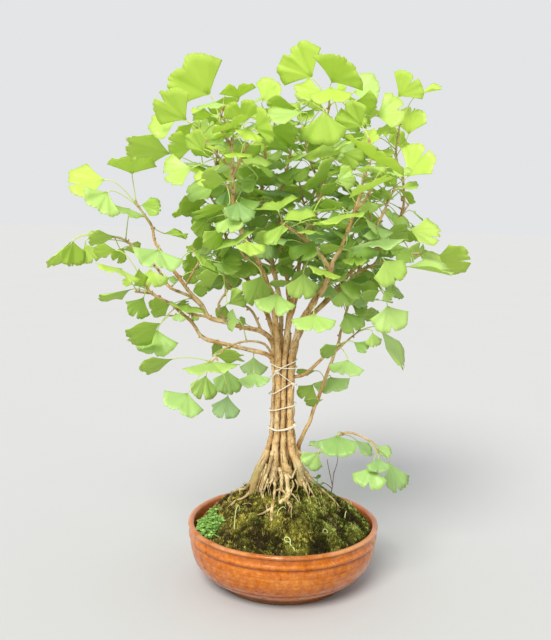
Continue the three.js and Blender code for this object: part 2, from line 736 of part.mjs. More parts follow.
// Leaves drawn one by one: blade root across and up, middle of its outer edge
// across and up, seen width, depth of the root.
const DRAWN_LEAVES = [
  // far upper left branch
  [-215, 569, -215, 592, 66, -40],
  [-251, 561, -300, 552, 42, -44],
  [-248, 545, -265, 520, 60, -50],
  [-203, 528, -176, 524, 24, -60],
  [-219, 523, -222, 514, 50, 8],
  [-172, 490, -140, 486, 10, -36],
  [-178, 468, -186, 443, 72, -78],
  // far left branch
  [-238, 484, -274, 478, 22, -10],
  [-237, 466, -268, 464, 20, -72],
  [-298, 477, -332, 443, 12, 10],
  [-296, 477, -300, 443, 34, 14],
  [-280, 474, -268, 449, 38, 30],
  [-262, 482, -275, 487, 12, 24],
  [-226, 470, -238, 450, 24, -8],
  [-228, 466, -204, 476, 14, 30],
  // lower left branch
  [-232, 441, -236, 431, 66, -86],
  [-190, 441, -188, 416, 48, -34],
  [-206, 441, -208, 417, 20, -76],
  [-217, 412, -260, 398, 12, -76],
  [-214, 419, -229, 421, 12, -46],
  [-199, 402, -212, 374, 38, -76],
  [-163, 392, -190, 384, 30, -26],
  [-140, 381, -138, 391, 54, -76],
  [-155, 392, -137, 397, 12, -60],
  [-166, 400, -185, 398, 14, -66],
  [-150, 381, -151, 369, 20, -66],
  [-130, 379, -128, 370, 13, -14],
  [-176, 366, -222, 346, 32, -88],
  [-180, 357, -185, 322, 62, -70],
  [-166, 430, -154, 424, 10, -24],
  [-68, 372, -83, 372, 32, -48],
  [-57, 367, -68, 374, 12, 14],
  [-86, 393, -93, 374, 24, 4],
  // hanging leaves on the thin arching twig
  [-106, 314, -104, 296, 80, -88],
  [-158, 316, -204, 301, 20, -62],
  [-137, 268, -152, 240, 62, -64],
  [-112, 294, -117, 260, 40, -38],
  [-81, 266, -87, 233, 42, -66],
  [-82, 302, -82, 268, 40, -26],
  [-104, 322, -95, 343, 16, -28],
  [-100, 322, -60, 322, 18, -74],
  [-46, 322, -45, 295, 40, 14],
  [-46, 300, -44, 279, 46, 34],
  // left of the middle
  [-82, 394, -60, 410, 30, -94],
  [-37, 436, -45, 393, 42, -70],
  [-66, 458, -66, 431, 52, 24],
  [-95, 452, -66, 447, 30, -64],
  [-95, 436, -125, 425, 26, -90],
  [-130, 440, -140, 424, 22, -18],
  [-112, 424, -128, 409, 22, -50],
  [-126, 462, -138, 436, 24, -36],
  [-118, 447, -112, 455, 44, -92],
  [-73, 476, -77, 484, 62, -122],
  [-50, 482, -28, 492, 22, -84],
  [-118, 492, -128, 470, 14, -40],
  [-92, 498, -112, 470, 30, -100],
  [-134, 466, -139, 452, 10, -40],
  [-113, 508, -128, 490, 28, -66],
  // left crown
  [-110, 675, -150, 712, 88, -50],
  [-141, 641, -180, 672, 55, -80],
  [-153, 645, -190, 627, 35, -40],
  [-162, 597, -220, 612, 45, 10],
  [-130, 607, -165, 613, 38, -66],
  [-120, 612, -110, 642, 45, -24],
  [-118, 600, -132, 628, 30, -94],
  [-133, 579, -170, 566, 42, -84],
  [-108, 572, -128, 560, 25, -92],
  [-86, 562, -120, 564, 30, -98],
  [-101, 557, -138, 540, 30, -36],
  [-122, 543, -146, 517, 30, -2],
  [-140, 532, -160, 515, 10, 10],
  [-84, 530, -130, 516, 18, -86],
  [-110, 512, -128, 496, 34, -22],
  [-79, 632, -84, 643, 57, -92],
  [-50, 632, -28, 641, 52, -86],
  [-72, 672, -75, 689, 50, -18],
  [-65, 640, -72, 668, 50, -40],
  [-45, 565, -66, 553, 22, -60],
  [-45, 616, -3, 603, 10, -46],
  [-30, 634, 5, 622, 40, -62],
  // top
  [-16, 524, -20, 536, 64, -114],
  [14, 510, 12, 526, 46, -124],
  [66, 520, 68, 512, 74, -108],
  [52, 509, 52, 503, 40, -112],
  [26, 700, -8, 732, 68, 0],
  [51, 694, 72, 724, 78, -20],
  [42, 682, 3, 680, 28, -24],
  [6, 660, -34, 662, 36, -30],
  [15, 655, -35, 648, 22, -52],
  [-41, 668, -22, 694, 38, 22],
  [58, 684, 70, 692, 14, -14],
  [94, 638, 68, 664, 46, -60],
  [80, 682, 114, 692, 40, 4],
  [85, 672, 112, 668, 30, -30],
  [42, 658, 42, 613, 66, -44],
  [69, 603, 93, 590, 40, -30],
  [48, 567, 35, 577, 60, -28],
  [62, 566, 85, 574, 36, -44],
  // right crown
  [140, 677, 162, 703, 52, 40],
  [168, 682, 197, 690, 8, 50],
  [112, 652, 148, 662, 46, 20],
  [156, 628, 160, 663, 44, 60],
  [140, 610, 142, 634, 24, 104],
  [156, 572, 184, 608, 55, 0],
  [108, 594, 118, 611, 94, -114],
  [112, 590, 130, 585, 30, -52],
  [92, 617, 115, 628, 22, -44],
  [109, 556, 104, 567, 64, -134],
  [147, 558, 172, 562, 10, 16],
  [148, 555, 167, 538, 10, 64],
  [142, 508, 150, 522, 50, 56],
  [163, 503, 203, 491, 36, -20],
  [128, 495, 160, 500, 30, -8],
  [105, 540, 106, 524, 30, -40],
  // right side
  [120, 489, 122, 478, 84, -60],
  [168, 458, 148, 471, 24, -34],
  [198, 463, 246, 463, 42, 30],
  [212, 453, 180, 468, 18, 20],
  [160, 452, 222, 443, 12, -44],
  [168, 458, 180, 484, 18, 66],
  [130, 460, 148, 430, 48, -100],
  [90, 465, 90, 452, 34, -84],
  [74, 477, 40, 476, 12, -88],
  [126, 418, 100, 409, 18, -56],
  [131, 418, 144, 408, 20, -52],
  [137, 398, 145, 362, 54, -62],
  [75, 419, 77, 395, 36, -32],
  [88, 398, 108, 386, 18, 0],
  [92, 385, 126, 380, 20, 50],
  [80, 388, 94, 360, 36, -14],
  [128, 366, 160, 311, 18, 0],
  [118, 360, 122, 340, 24, -34],
  [92, 346, 110, 333, 20, -38],
  [70, 341, 48, 326, 20, -48],
  [85, 321, 82, 299, 50, -44],
  [42, 304, 14, 303, 10, 46],
  [62, 296, 66, 273, 52, 52],
  [38, 285, 23, 263, 32, 44],
  [50, 263, 28, 259, 12, -6],
  // middle
  [36, 384, 36, 358, 62, -122],
  [20, 440, 20, 405, 46, -74],
  [50, 445, 47, 436, 48, -88],
  [-16, 412, -20, 383, 58, -62],
  [4, 428, -26, 424, 10, -34],
  [20, 468, -14, 458, 12, -34],
  [20, 480, -10, 480, 14, -30],
  [-33, 484, -32, 459, 28, -70],
  // low branch near the pot
  [74, 213, 76, 181, 56, -46],
  [60, 193, 34, 197, 10, 16],
  [48, 187, 33, 164, 36, -36],
  [99, 207, 122, 184, 16, 2],
  [133, 180, 133, 160, 34, -66],
  [130, 199, 149, 184, 18, -8],
  [124, 168, 119, 137, 50, -66],
  [148, 176, 160, 133, 36, -20],
];

// The crown's outline as drawn from the front, which the free leaves keep inside.
const CROWN = [
  [-62, 428], [-98, 404], [-130, 418], [-142, 470], [-136, 520], [-166, 560],
  [-172, 612], [-146, 650], [-118, 690], [-60, 692], [-20, 728], [22, 704],
  [60, 722], [84, 700], [112, 700], [160, 696], [152, 640], [186, 598],
  [170, 540], [196, 500], [176, 440], [150, 430], [150, 392], [130, 356],
  [100, 346], [56, 372], [20, 410], [-20, 436],
];

// ------------------------------------------------------------ where leaves go
function woodOf(plants) {
  return plants.flatMap((plant, index) => {
    const stand = plant.stand.map(([x, y, z]) => [x, y, z]);
    const rise = plant.rise.map(([u, v, d]) => sight(u, v, d));
    const main = pathRods([...stand, ...rise], [...plant.stand, ...plant.rise]);
    const limbs = plant.limbs.flatMap((limb) => pathRods(
      limb.map(([u, v, d]) => sight(u, v, d)),
      limb,
    ));
    return [...main, ...limbs].map((rod) => ({ ...bodyOf([rod], []), plant: index }));
  });
}

function pathRods(points, rows) {
  return points.slice(1).map((p, i) => [points[i], p, rows[i][3]]);
}

// A spur stands at each drawn point of a branch. Its leaves are rooted on the
// branch's axis, each a little further back from that point.
function spursOf(plants) {
  return plants.flatMap((plant, index) => (
    [plant.rise, ...plant.limbs].flatMap((path) => path.slice(1).map(([u, v, d], i) => {
      const point = sight(u, v, d);
      const back = sub(sight(...path[i].slice(0, 3)), point);
      return { point, back, up: v, plant: index, leaves: 0 };
    }))
  ));
}

function rootOn(spur) {
  const room = length(spur.back);
  const step = Math.min(ROOT_FIRST + ROOT_STEP * spur.leaves, 0.6 * room);
  return add(spur.point, scale(spur.back, step / room));
}

function dressed(blade, spur) {
  const petiole = [rootOn(spur), blade.base];
  const leaf = { ...blade, petiole, plant: spur.plant };
  leaf.blade = bladeBody(leaf);
  leaf.stalk = pathBody(petiole, PETIOLE_RADIUS);
  return leaf;
}

// A leaf whose seen length is short for its width nods along the sight line,
// and one that looks too narrow for its length is turned on its axis.
function drawnBlade([ub, vb, ut, vt, seen], depth, draw) {
  const base = sight(ub, vb, depth);
  const tip = sight(ut, vt, depth);
  const away = unit(sub(base, EYE));
  const flat = sub(tip, base);
  const shown = sub(flat, scale(away, dot(flat, away)));
  const run = length(shown);
  const along = unit(shown);
  const side = cross(away, along);
  const width = (seen * (depth - EYE[1])) / -EYE[1];
  const turn = (vt < vb) === (vb < EYE[2]) ? -1 : 1;
  const kept = seen < SEEN_BROAD ? FEW_POINTS : EVERY_POINT;
  if (width * BLADE_RATIO >= run) {
    const reach = width * BLADE_RATIO;
    const part = run / reach;
    const lift = scale(away, turn * Math.sqrt(1 - part * part));
    return leafFrom(base, add(scale(along, part), lift), side, width, reach, draw, kept);
  }
  const whole = Math.max(width, Math.min(run / BLADE_RATIO, BLADE_WIDEST));
  const part = width / whole;
  const lift = scale(away, turn * Math.sqrt(1 - part * part));
  return leafFrom(base, along, add(scale(side, part), lift), whole, run, draw, kept);
}

function bestSpur(blade, spurs) {
  const costs = spurs.map((spur) => {
    const reach = span(spur.point, blade.base);
    const lead = dot(unit(sub(blade.base, spur.point)), blade.along);
    const short = reach < PETIOLE_SHORTEST ? 60 : 0;
    const long = reach > 55 ? 2 * (reach - 55) : 0;
    return Math.abs(reach - 32) + long + short + 8 * (1 - lead) + 1.5 * spur.leaves;
  });
  return spurs[costs.indexOf(Math.min(...costs))];
}

const SLIDES = [0, -6, 6, -12, 12, -18, 18, -25, 25, -33, 33, -42, 42];

function drawnLeaf(row, index, spurs, leaves, wood) {
  const first = drawnBlade(row, row[5], stream(100 + index));
  const spur = bestSpur(first, spurs);
  for (const slide of SLIDES) {
    const blade = drawnBlade(row, row[5] + slide, stream(100 + index));
    const leaf = dressed(blade, spur);
    const room = span(spur.point, blade.base) >= PETIOLE_SHORTEST;
    if (room && isClear(leaf, leaves, wood)) {
      spur.leaves += 1;
      return leaf;
    }
  }
  return null;
}

function inside([u, v], outline) {
  return outline.reduce((odd, [ua, va], i) => {
    const [ub, vb] = outline[(i + 1) % outline.length];
    const crosses = (va > v) !== (vb > v) && u < ua + ((ub - ua) * (v - va)) / (vb - va);
    return crosses ? !odd : odd;
  }, false);
}

function hides(leaf, drawn) {
  const centre = leaf.blade.centre;
  const here = drawing(centre);
  return drawn.some((other) => {
    const there = drawing(other.blade.centre);
    const apart = Math.hypot(here[0] - there[0], here[1] - there[1]);
    const nearer = centre[1] < other.blade.centre[1];
    return nearer && apart < 0.4 * other.width + 0.3 * leaf.width;
  });
}

// A leaf that springs from its spur in a direction drawn at random.
function freeBlade(spur, turn, draw) {
  const rise = 0.15 + 0.8 * draw();
  const reach = 26 + 20 * draw();
  const width = 42 + 24 * draw();
  const nod = 0.1 + 0.9 * draw();
  const roll = 0.8 * (draw() - 0.5);
  const out = [Math.cos(turn), Math.sin(turn), 0];
  const flat = scale(out, reach * Math.cos(rise));
  const base = add(spur.point, add(flat, [0, 0, reach * Math.sin(rise)]));
  const along = add(scale(out, Math.cos(nod)), [0, 0, -Math.sin(nod)]);
  const level = [out[1], -out[0], 0];
  const normal = cross(along, level);
  const across = add(scale(level, Math.cos(roll)), scale(normal, Math.sin(roll)));
  return leafFrom(base, along, across, width, width * BLADE_RATIO, draw, FEW_POINTS);
}

function freeLeaves(spurs, drawn, wood) {
  const found = [];
  const order = spurs.filter((spur) => spur.up > 395)
    .sort((a, b) => b.point[1] - a.point[1]);
  for (let round = 0; round < FREE_LEAVES_PER_SPUR; round += 1) {
    order.forEach((spur, k) => {
      for (let attempt = 0; attempt < 6; attempt += 1) {
        if (found.length >= FREE_LEAF_LIMIT) return;
        const seed = 5000 + 997 * round + 31 * k + 7 * attempt;
        const draw = stream(seed);
        const leaf = dressed(freeBlade(spur, 2 * Math.PI * draw(), draw), spur);
        const shown = [leaf.base, leaf.edge[0], leaf.edge[2], leaf.edge[4]];
        const kept = shown.every((p) => inside(drawing(p), CROWN));
        if (kept && !hides(leaf, drawn) && isClear(leaf, [...drawn, ...found], wood)) {
          found.push(leaf);
          spur.leaves += 1;
          return;
        }
      }
    });
  }
  return found;
}

function allLeaves() {
  const wood = woodOf(SAPLINGS);
  const spurs = spursOf(SAPLINGS);
  const drawn = [];
  DRAWN_LEAVES.forEach((row, index) => {
    const leaf = drawnLeaf(row, index, spurs, drawn, wood);
    if (leaf) drawn.push(leaf);
  });
  return [...drawn, ...freeLeaves(spurs, drawn, wood)];
}

// ------------------------------------------------------------- sapling solids
function placed(rows) {
  return rows.map(([u, v, d, r]) => [...sight(u, v, d), r]);
}

function stemPath(plant) {
  return [...plant.stand, ...placed(plant.rise)];
}

function saplingSolid(plant, leaves) {
  const wood = [
    tube(stemPath(plant), WOOD_SIDES),
    ...plant.limbs.map((limb) => tube(placed(limb), LIMB_SIDES)),
    ...plant.roots.map((root) => tube(sunken(root), ROOT_SIDES)),
  ];
  return joined([...wood, ...leaves.map(leafSolid)].map(solidOf));
}

// A root ends inside the moss, a little under its top.
function sunken(root) {
  const [x, y, , r] = root[root.length - 1];
  return [...root.slice(0, -1), [x, y, mossTop(Math.hypot(x, y)) - ROOT_DEPTH, r]];
}

// What the saplings fill underground, a little larger, to cut their plain holes.
function grown(path, by) {
  const last = path.length - 1;
  const wide = path.map(([x, y, z, r]) => [x, y, z, r + by]);
  [[0, 1], [last, last - 1]].forEach(([at, next]) => {
    const end = path[at].slice(0, 3);
    const run = unit(sub(end, path[next].slice(0, 3)));
    wide[at] = [...add(end, scale(run, by)), path[at][3] + by];
  });
  return wide;
}

function stemHoles() {
  return joined(SAPLINGS.map(({ stand }) => (
    solidOf(tube(grown(stand.slice(0, 3), HOLE_ROOM), WOOD_SIDES))
  )));
}

function rootHoles() {
  const roots = SAPLINGS.flatMap((plant) => plant.roots.map(sunken));
  return joined(roots.map((root) => solidOf(tube(grown(root, HOLE_ROOM), ROOT_SIDES))));
}

// ------------------------------------------------------------- pot and ground
const POT_OUTSIDE = [
  [FOOT_RADIUS, 0], [92, 5], [99, 9], [115, 20], [126.5, 36],
  [131, 52], [132, 63], [131, 66.5], [134, 70], [132.3, 77], [POT_RADIUS, 84],
];
const POT_INSIDE = [[126.5, 84], [124, 52], [110, 24], [88, FLOOR_THICKNESS]];
const POT_LIP = [[133.5, POT_HEIGHT - 0.8], [130, POT_HEIGHT]];

function holePlaces() {
  return [90, 210, 330].map((degrees) => {
    const turn = (degrees * Math.PI) / 180;
    return [HOLE_OFFSET * Math.cos(turn), HOLE_OFFSET * Math.sin(turn)];
  });
}

function pot() {
  const profile = [[0, 0], ...POT_OUTSIDE, ...POT_LIP, ...POT_INSIDE, [0, FLOOR_THICKNESS]];
  const shell = solidOf(turned(profile, POT_SIDES));
  return holePlaces().reduce((body, [x, y]) => {
    const drill = new THREE.CylinderGeometry(HOLE_RADIUS, HOLE_RADIUS, 4 * FLOOR_THICKNESS, 8);
    return body.subtract(solidOf(drill.rotateX(Math.PI / 2).translate(x, y, 0)));
  }, shell);
}

function screen([x, y]) {
  const plate = new THREE.BoxGeometry(SCREEN_SIDE, SCREEN_SIDE, SCREEN_THICKNESS);
  const body = [-6, 0, 6].reduce((sheet, u) => {
    const slot = new THREE.BoxGeometry(3, 18, 3 * SCREEN_THICKNESS);
    return sheet.subtract(solidOf(slot.translate(u, 0, 0)));
  }, solidOf(plate));
  return body.translate([x, y, FLOOR_THICKNESS + GAP + SCREEN_THICKNESS / 2]);
}

function mossTop(r) {
  const mound = MOUND_HEIGHT / (1 + (r / MOUND_SPREAD) ** MOUND_POWER);
  const past = Math.max(0, r - EDGE_START) / (MOSS_RADIUS - EDGE_START);
  return MOSS_LEVEL + mound - EDGE_DROP * past * past;
}

// The moss's surface has low cushions on it, none at its rim.
function cushions(x, y) {
  const r = Math.hypot(x, y);
  const fade = Math.max(0, Math.min(1, (112 - r) / 16, r / 10));
  const small = 1.5 * Math.sin(0.11 * x + 1) * Math.cos(0.13 * y);
  const broad = 1.2 * Math.sin(0.07 * y - 0.05 * x);
  return fade * (small + broad);
}

function moss(cut) {
  const under = MOSS_RINGS.map((r) => [r, mossTop(r) - MOSS_THICKNESS]);
  const over = MOSS_RINGS.map((r) => [r, mossTop(r)]).reverse();
  const sheet = turned([...under, ...over], MOSS_SIDES);
  const place = sheet.attributes.position;
  for (let i = 0; i < place.count; i += 1) {
    const [x, y, z] = [place.getX(i), place.getY(i), place.getZ(i)];
    const isTop = z > mossTop(Math.hypot(x, y)) - MOSS_THICKNESS / 2;
    if (isTop) place.setZ(i, z + cushions(x, y));
  }
  return solidOf(sheet).subtract(cut);
}

function soil(cut) {
  const flats = Math.cos(Math.PI / POT_SIDES);
  const wall = POT_INSIDE.slice(1).reverse().map(([r, z]) => [r * flats - 1.2 * GAP, z]);
  wall[0][1] = FLOOR_THICKNESS + GAP;
  const top = MOSS_RINGS.map((r) => [r, mossTop(r) - MOSS_THICKNESS - GAP]).reverse();
  const low = wall.filter(([, z]) => z < top[0][1]);
  const body = solidOf(turned([[0, FLOOR_THICKNESS + GAP], ...low, ...top], MOSS_SIDES));
  const room = SCREEN_SIDE + 2 * GAP;
  return holePlaces().reduce((earth, [x, y]) => {
    const recess = new THREE.BoxGeometry(room, room, 4 * FLOOR_THICKNESS);
    const deep = FLOOR_THICKNESS + 2 * GAP + SCREEN_THICKNESS - 2 * FLOOR_THICKNESS;
    return earth.subtract(solidOf(recess.translate(x, y, deep)));
  }, body).subtract(cut);
}

// ---------------------------------------------------------------- twine rings
function stemsAt(height) {
  return SAPLINGS.slice(0, 11).map(({ stand, rise }) => {
    const path = [...stand, ...placed(rise)];
    const k = path.findIndex((p, i) => i > 0 && p[2] >= height);
    const [a, b] = [path[k - 1], path[k]];
    const t = (height - a[2]) / (b[2] - a[2]);
    return a.map((value, i) => value + (b[i] - value) * t);
  });
}

// One turn of twine pulled tight round the stems; its height swings round the
// trunk with its highest place at the given angle.
function twine(height, swing, highest) {
  const path = [];
  for (let k = 0; k < TWINE_STEPS; k += 1) {
    const turn = (2 * Math.PI * k) / TWINE_STEPS;
    const level = height + swing * Math.cos(turn - highest);
    const out = [Math.cos(turn), Math.sin(turn)];
    const stems = stemsAt(level);
    const lead = stems.map(([x, y, , r]) => x * out[0] + y * out[1] + r);
    const [x, y, , r] = stems[lead.indexOf(Math.max(...lead))];
    const away = r + TWINE_RADIUS + 2 * GAP;
    path.push([x + out[0] * away, y + out[1] * away, level]);
  }
  return path;
}

// A loop of twine with a knot lying on its outside at one of its steps.
function tie(height, swing, highest, knotStep) {
  const path = twine(height, swing, highest);
  const turn = (2 * Math.PI * knotStep) / TWINE_STEPS;
  const out = scale([Math.cos(turn), Math.sin(turn), 0], KNOT_RADIUS / 2);
  const knot = new THREE.IcosahedronGeometry(KNOT_RADIUS, 0);
  knot.translate(...add(path[knotStep], out));
  return solidOf(ring(path, TWINE_RADIUS, 4)).add(solidOf(knot));
}

function ring(path, radius, sides) {
  const count = path.length;
  const points = path.flatMap((p, i) => {
    const along = unit(sub(path[(i + 1) % count], path[(i + count - 1) % count]));
    const side = unit(sub([0, 0, 1], scale(along, along[2])));
    const other = cross(along, side);
    return Array.from({ length: sides }, (_, k) => {
      const turn = (2 * Math.PI * (k + 0.5)) / sides;
      return add(p, add(scale(side, radius * Math.cos(turn)), scale(other, radius * Math.sin(turn))));
    });
  });
  const faces = [];
  for (let i = 0; i < count; i += 1) {
    for (let k = 0; k < sides; k += 1) {
      const a = i * sides + k;
      const b = i * sides + ((k + 1) % sides);
      const c = ((i + 1) % count) * sides;
      faces.push([a, b, c + (b % sides)], [a, c + (b % sides), c + (a % sides)]);
    }
  }
  return meshOf(points, faces);
}

// --------------------------------------------------------------- small plants
const SPRIG = [
  [[70, 56, 103, 0.9], [72, 57, 116, 0.8], [74, 58, 140, 0.7]],
  [[72.5, 57, 118, 0.7], [66, 55, 146, 0.6], [63, 54, 160, 0.6]],
  [[74, 58, 138, 0.7], [78, 58, 152, 0.6], [79, 58, 164, 0.6]],
  [[72.5, 57, 114, 0.7], [60, 52, 124, 0.6], [54, 50, 122, 0.6]],
];
const SEEDLING_RUNNER_RADIUS = 1.1;
const SEEDLING_RING = 114;

function sprig() {
  return joined(SPRIG.map((path) => solidOf(tube(path, 4))));
}

function runnerPath() {
  return Array.from({ length: 5 }, (_, k) => {
    const turn = Math.PI * (1.03 + 0.05 * k);
    const z = mossTop(SEEDLING_RING) + 0.2;
    return [SEEDLING_RING * Math.cos(turn), SEEDLING_RING * Math.sin(turn), z, SEEDLING_RUNNER_RADIUS];
  });
}

function seedlings() {
  const runner = runnerPath();
  const blades = runner.map(([x, y, z], k) => {
    const draw = stream(40 + k);
    const turn = 2.4 * k;
    const out = [Math.cos(turn), Math.sin(turn), 0];
    const base = add([x, y, z + 5 + 3 * draw()], scale(out, 2.5));
    const along = add(scale(out, 0.9), [0, 0, 0.436]);
    const across = [out[1], -out[0], 0];
    const leaf = leafFrom(base, unit(along), across, 8 + 2 * draw(), 6, draw, FEW_POINTS);
    return solidOf(leafSolid({ ...leaf, petiole: [[x, y, z], base] }));
  });
  return joined([solidOf(tube(runner, 4)), ...blades]);
}

// ------------------------------------------------------------------ the model
const BARK = { color: 0xb8935f, roughness: 0.8, metalness: 0 };
const GLAZE = { color: 0xa4511f, roughness: 0.25, metalness: 0 };
const MOSS = { color: 0x6f7a2c, roughness: 1, metalness: 0 };
const EARTH = { color: 0x3c2a1c, roughness: 1, metalness: 0 };
const TWINE = { color: 0xe8dcc4, roughness: 0.9, metalness: 0 };
const GREEN = { color: 0x8fbf3a, roughness: 0.6, metalness: 0 };
const DEAD_TWIG = { color: 0x8a7a66, roughness: 0.9, metalness: 0 };
const SCREEN = { color: 0x2b2b2b, roughness: 0.6, metalness: 0 };

const bonsai = new THREE.Group();

function place(name, solid, look) {
  const mesh = new THREE.Mesh(geometryOf(solid), new THREE.MeshStandardMaterial(look));
  mesh.name = name;
  bonsai.add(mesh);
}

const leaves = allLeaves();
const stemRoom = stemHoles();
const sprigRoom = solidOf(tube(grown(SPRIG[0], HOLE_ROOM), 4));
const runnerRoom = solidOf(tube(grown(runnerPath(), HOLE_ROOM), 4));
const mossRoom = joined([stemRoom, rootHoles(), sprigRoom, runnerRoom]);

place('pot', pot(), GLAZE);
holePlaces().forEach((at, i) => place(`drain_screen_${i + 1}`, screen(at), SCREEN));
place('soil', soil(stemRoom), EARTH);
place('moss', moss(mossRoom), MOSS);
SAPLINGS.forEach((plant, index) => {
  const own = leaves.filter((leaf) => leaf.plant === index);
  place(plant.name, saplingSolid(plant, own), BARK);
});
place('tie_low', tie(219.5, 2.5, 0.2, 11), TWINE);
place('tie_middle', tie(250, 1.5, 0.3, 4), TWINE);
place('tie_upper', tie(280, 7, -0.4, 10), TWINE);
place('tie_top', tie(302, 9, 0.1, 8), TWINE);
place('dry_sprig', sprig(), DEAD_TWIG);
place('seedlings', seedlings(), GREEN);

export default bonsai;
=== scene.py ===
"""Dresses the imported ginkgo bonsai: bark, roots, fan leaves, moss, twine and glaze.

Lengths in this file are millimetres and become metres where a mesh is made.
"""
import math

import bpy
import numpy as np
from mathutils import Matrix, Vector, noise


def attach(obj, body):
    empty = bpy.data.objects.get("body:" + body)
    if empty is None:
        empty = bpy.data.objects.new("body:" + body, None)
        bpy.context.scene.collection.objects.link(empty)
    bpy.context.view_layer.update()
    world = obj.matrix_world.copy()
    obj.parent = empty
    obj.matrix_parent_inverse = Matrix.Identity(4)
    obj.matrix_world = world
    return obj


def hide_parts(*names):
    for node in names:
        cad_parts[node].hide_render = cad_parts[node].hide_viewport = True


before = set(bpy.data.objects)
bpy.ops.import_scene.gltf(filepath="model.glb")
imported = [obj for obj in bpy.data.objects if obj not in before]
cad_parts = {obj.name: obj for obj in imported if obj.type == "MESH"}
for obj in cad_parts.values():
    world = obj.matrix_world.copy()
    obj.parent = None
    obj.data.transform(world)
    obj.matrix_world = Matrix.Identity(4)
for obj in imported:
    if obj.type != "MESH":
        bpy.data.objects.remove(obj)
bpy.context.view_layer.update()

MM = 0.001
ROOT = "root"
PLAIN = (0.5, 0.5, 0.5)
UPWARD = np.array([0.0, 0.0, 1.0])

# ---------- shared dimensions
HOLE_RADIUS = 7
HOLE_OFFSET = 46
MOSS_RADIUS = 122.4
MOSS_THICKNESS = 9
MOSS_LEVEL = 82
MOUND_HEIGHT = 68
MOUND_SPREAD = 75
MOUND_POWER = 2.6
EDGE_START = 70
EDGE_DROP = 16

BLADE_THICKNESS = 0.8
BLADE_RATIO = 0.66
BLADE_WIDEST = 82
PETIOLE_RADIUS = 0.8
PETIOLE_SHORTEST = 16
BLADE_CLEARANCE = 1.0
ROOT_FIRST = 2.5
ROOT_STEP = 3
FREE_LEAVES_PER_SPUR = 2
FREE_LEAF_LIMIT = 38
EXTRA_LEAF_LIMIT = 330
EXTRA_CLEARANCE = 0.2
SPUR_LOWEST = 395
SPUR_SPACING = 11
SEEN_BROAD = 40
BUNDLE_TOP = 360
OLD_SPURS_FROM = 330
MOSSY_BELOW = 186
ROOT_DEPTH = 4.5
TIP_SHARE = 0.35
LUMP_SCALE = 0.16
EVERY_POINT = [0, 1, 2, 3, 4, 5, 6]
FEW_POINTS = [0, 2, 3, 4, 6]

# Where each thing that is drawn at random starts its numbers.
SEEDS = {
    "rootlets": 31, "weed": 55, "seedlings": 77, "drawn leaves": 100, "wood": 300, "knots": 900,
    "free leaves": 5000, "leaf edges": 7000, "extra leaves": 21000,
}

# The tree is drawn as it looks from the front: a point is (across, up, depth),
# read on the plane y = 0 from this eye point and slid along its sight line.
EYE = np.array([0.0, -1200.0, 548.0])


def sight(across, up, depth):
    """The place of a drawn point."""
    reach = (depth - EYE[1]) / -EYE[1]
    return np.array([across * reach, depth, EYE[2] + (up - EYE[2]) * reach])


def drawing(point):
    """Where a place shows in the drawing: across and up."""
    reach = (point[1] - EYE[1]) / -EYE[1]
    return point[0] / reach, EYE[2] + (point[2] - EYE[2]) / reach


def unit(vector):
    return vector / np.linalg.norm(vector)


def clamp(value, low=0.0):
    return max(low, min(1.0, value))


def waver(x, y, z):
    """Smooth noise from about -1 to 1 at a place."""
    return noise.noise(Vector((x, y, z)))


def heading(turn, up=0.0):
    """The way out from an axis at an angle, with a rise."""
    return np.array([math.cos(turn), math.sin(turn), up])


def turns_of(sides):
    """The angles of evenly spaced sides."""
    return 2 * np.pi * np.arange(sides) / sides


def run_along(points):
    """How far along a path each of its points lies."""
    return np.concatenate([[0], np.cumsum(np.linalg.norm(np.diff(points, axis=0), axis=1))])


def cubic(t):
    """A cubic curve's weights: of its start, slope there, end, and slope there."""
    t2, t3 = t * t, t * t * t
    return 2 * t3 - 3 * t2 + 1, t3 - 2 * t2 + t, 3 * t2 - 2 * t3, t3 - t2


def pairs(first, second):
    """A grid of pairs of the values of two arrays."""
    return np.stack(np.broadcast_arrays(first, second), axis=-1)


def show(name, data):
    """Puts a new object into the scene."""
    made = bpy.data.objects.new(name, data)
    bpy.context.scene.collection.objects.link(made)
    return made


def stream(seed):
    """A seeded function that gives numbers from 0 to 1."""
    mask = 0xFFFFFFFF
    state = seed & mask

    def draw():
        nonlocal state
        state = (state + 0x6D2B79F5) & mask
        t = ((state ^ (state >> 15)) * (state | 1)) & mask
        t ^= (t + (((t ^ (t >> 7)) * (t | 61)) & mask)) & mask
        return ((t ^ (t >> 14)) & mask) / 4294967296

    return draw


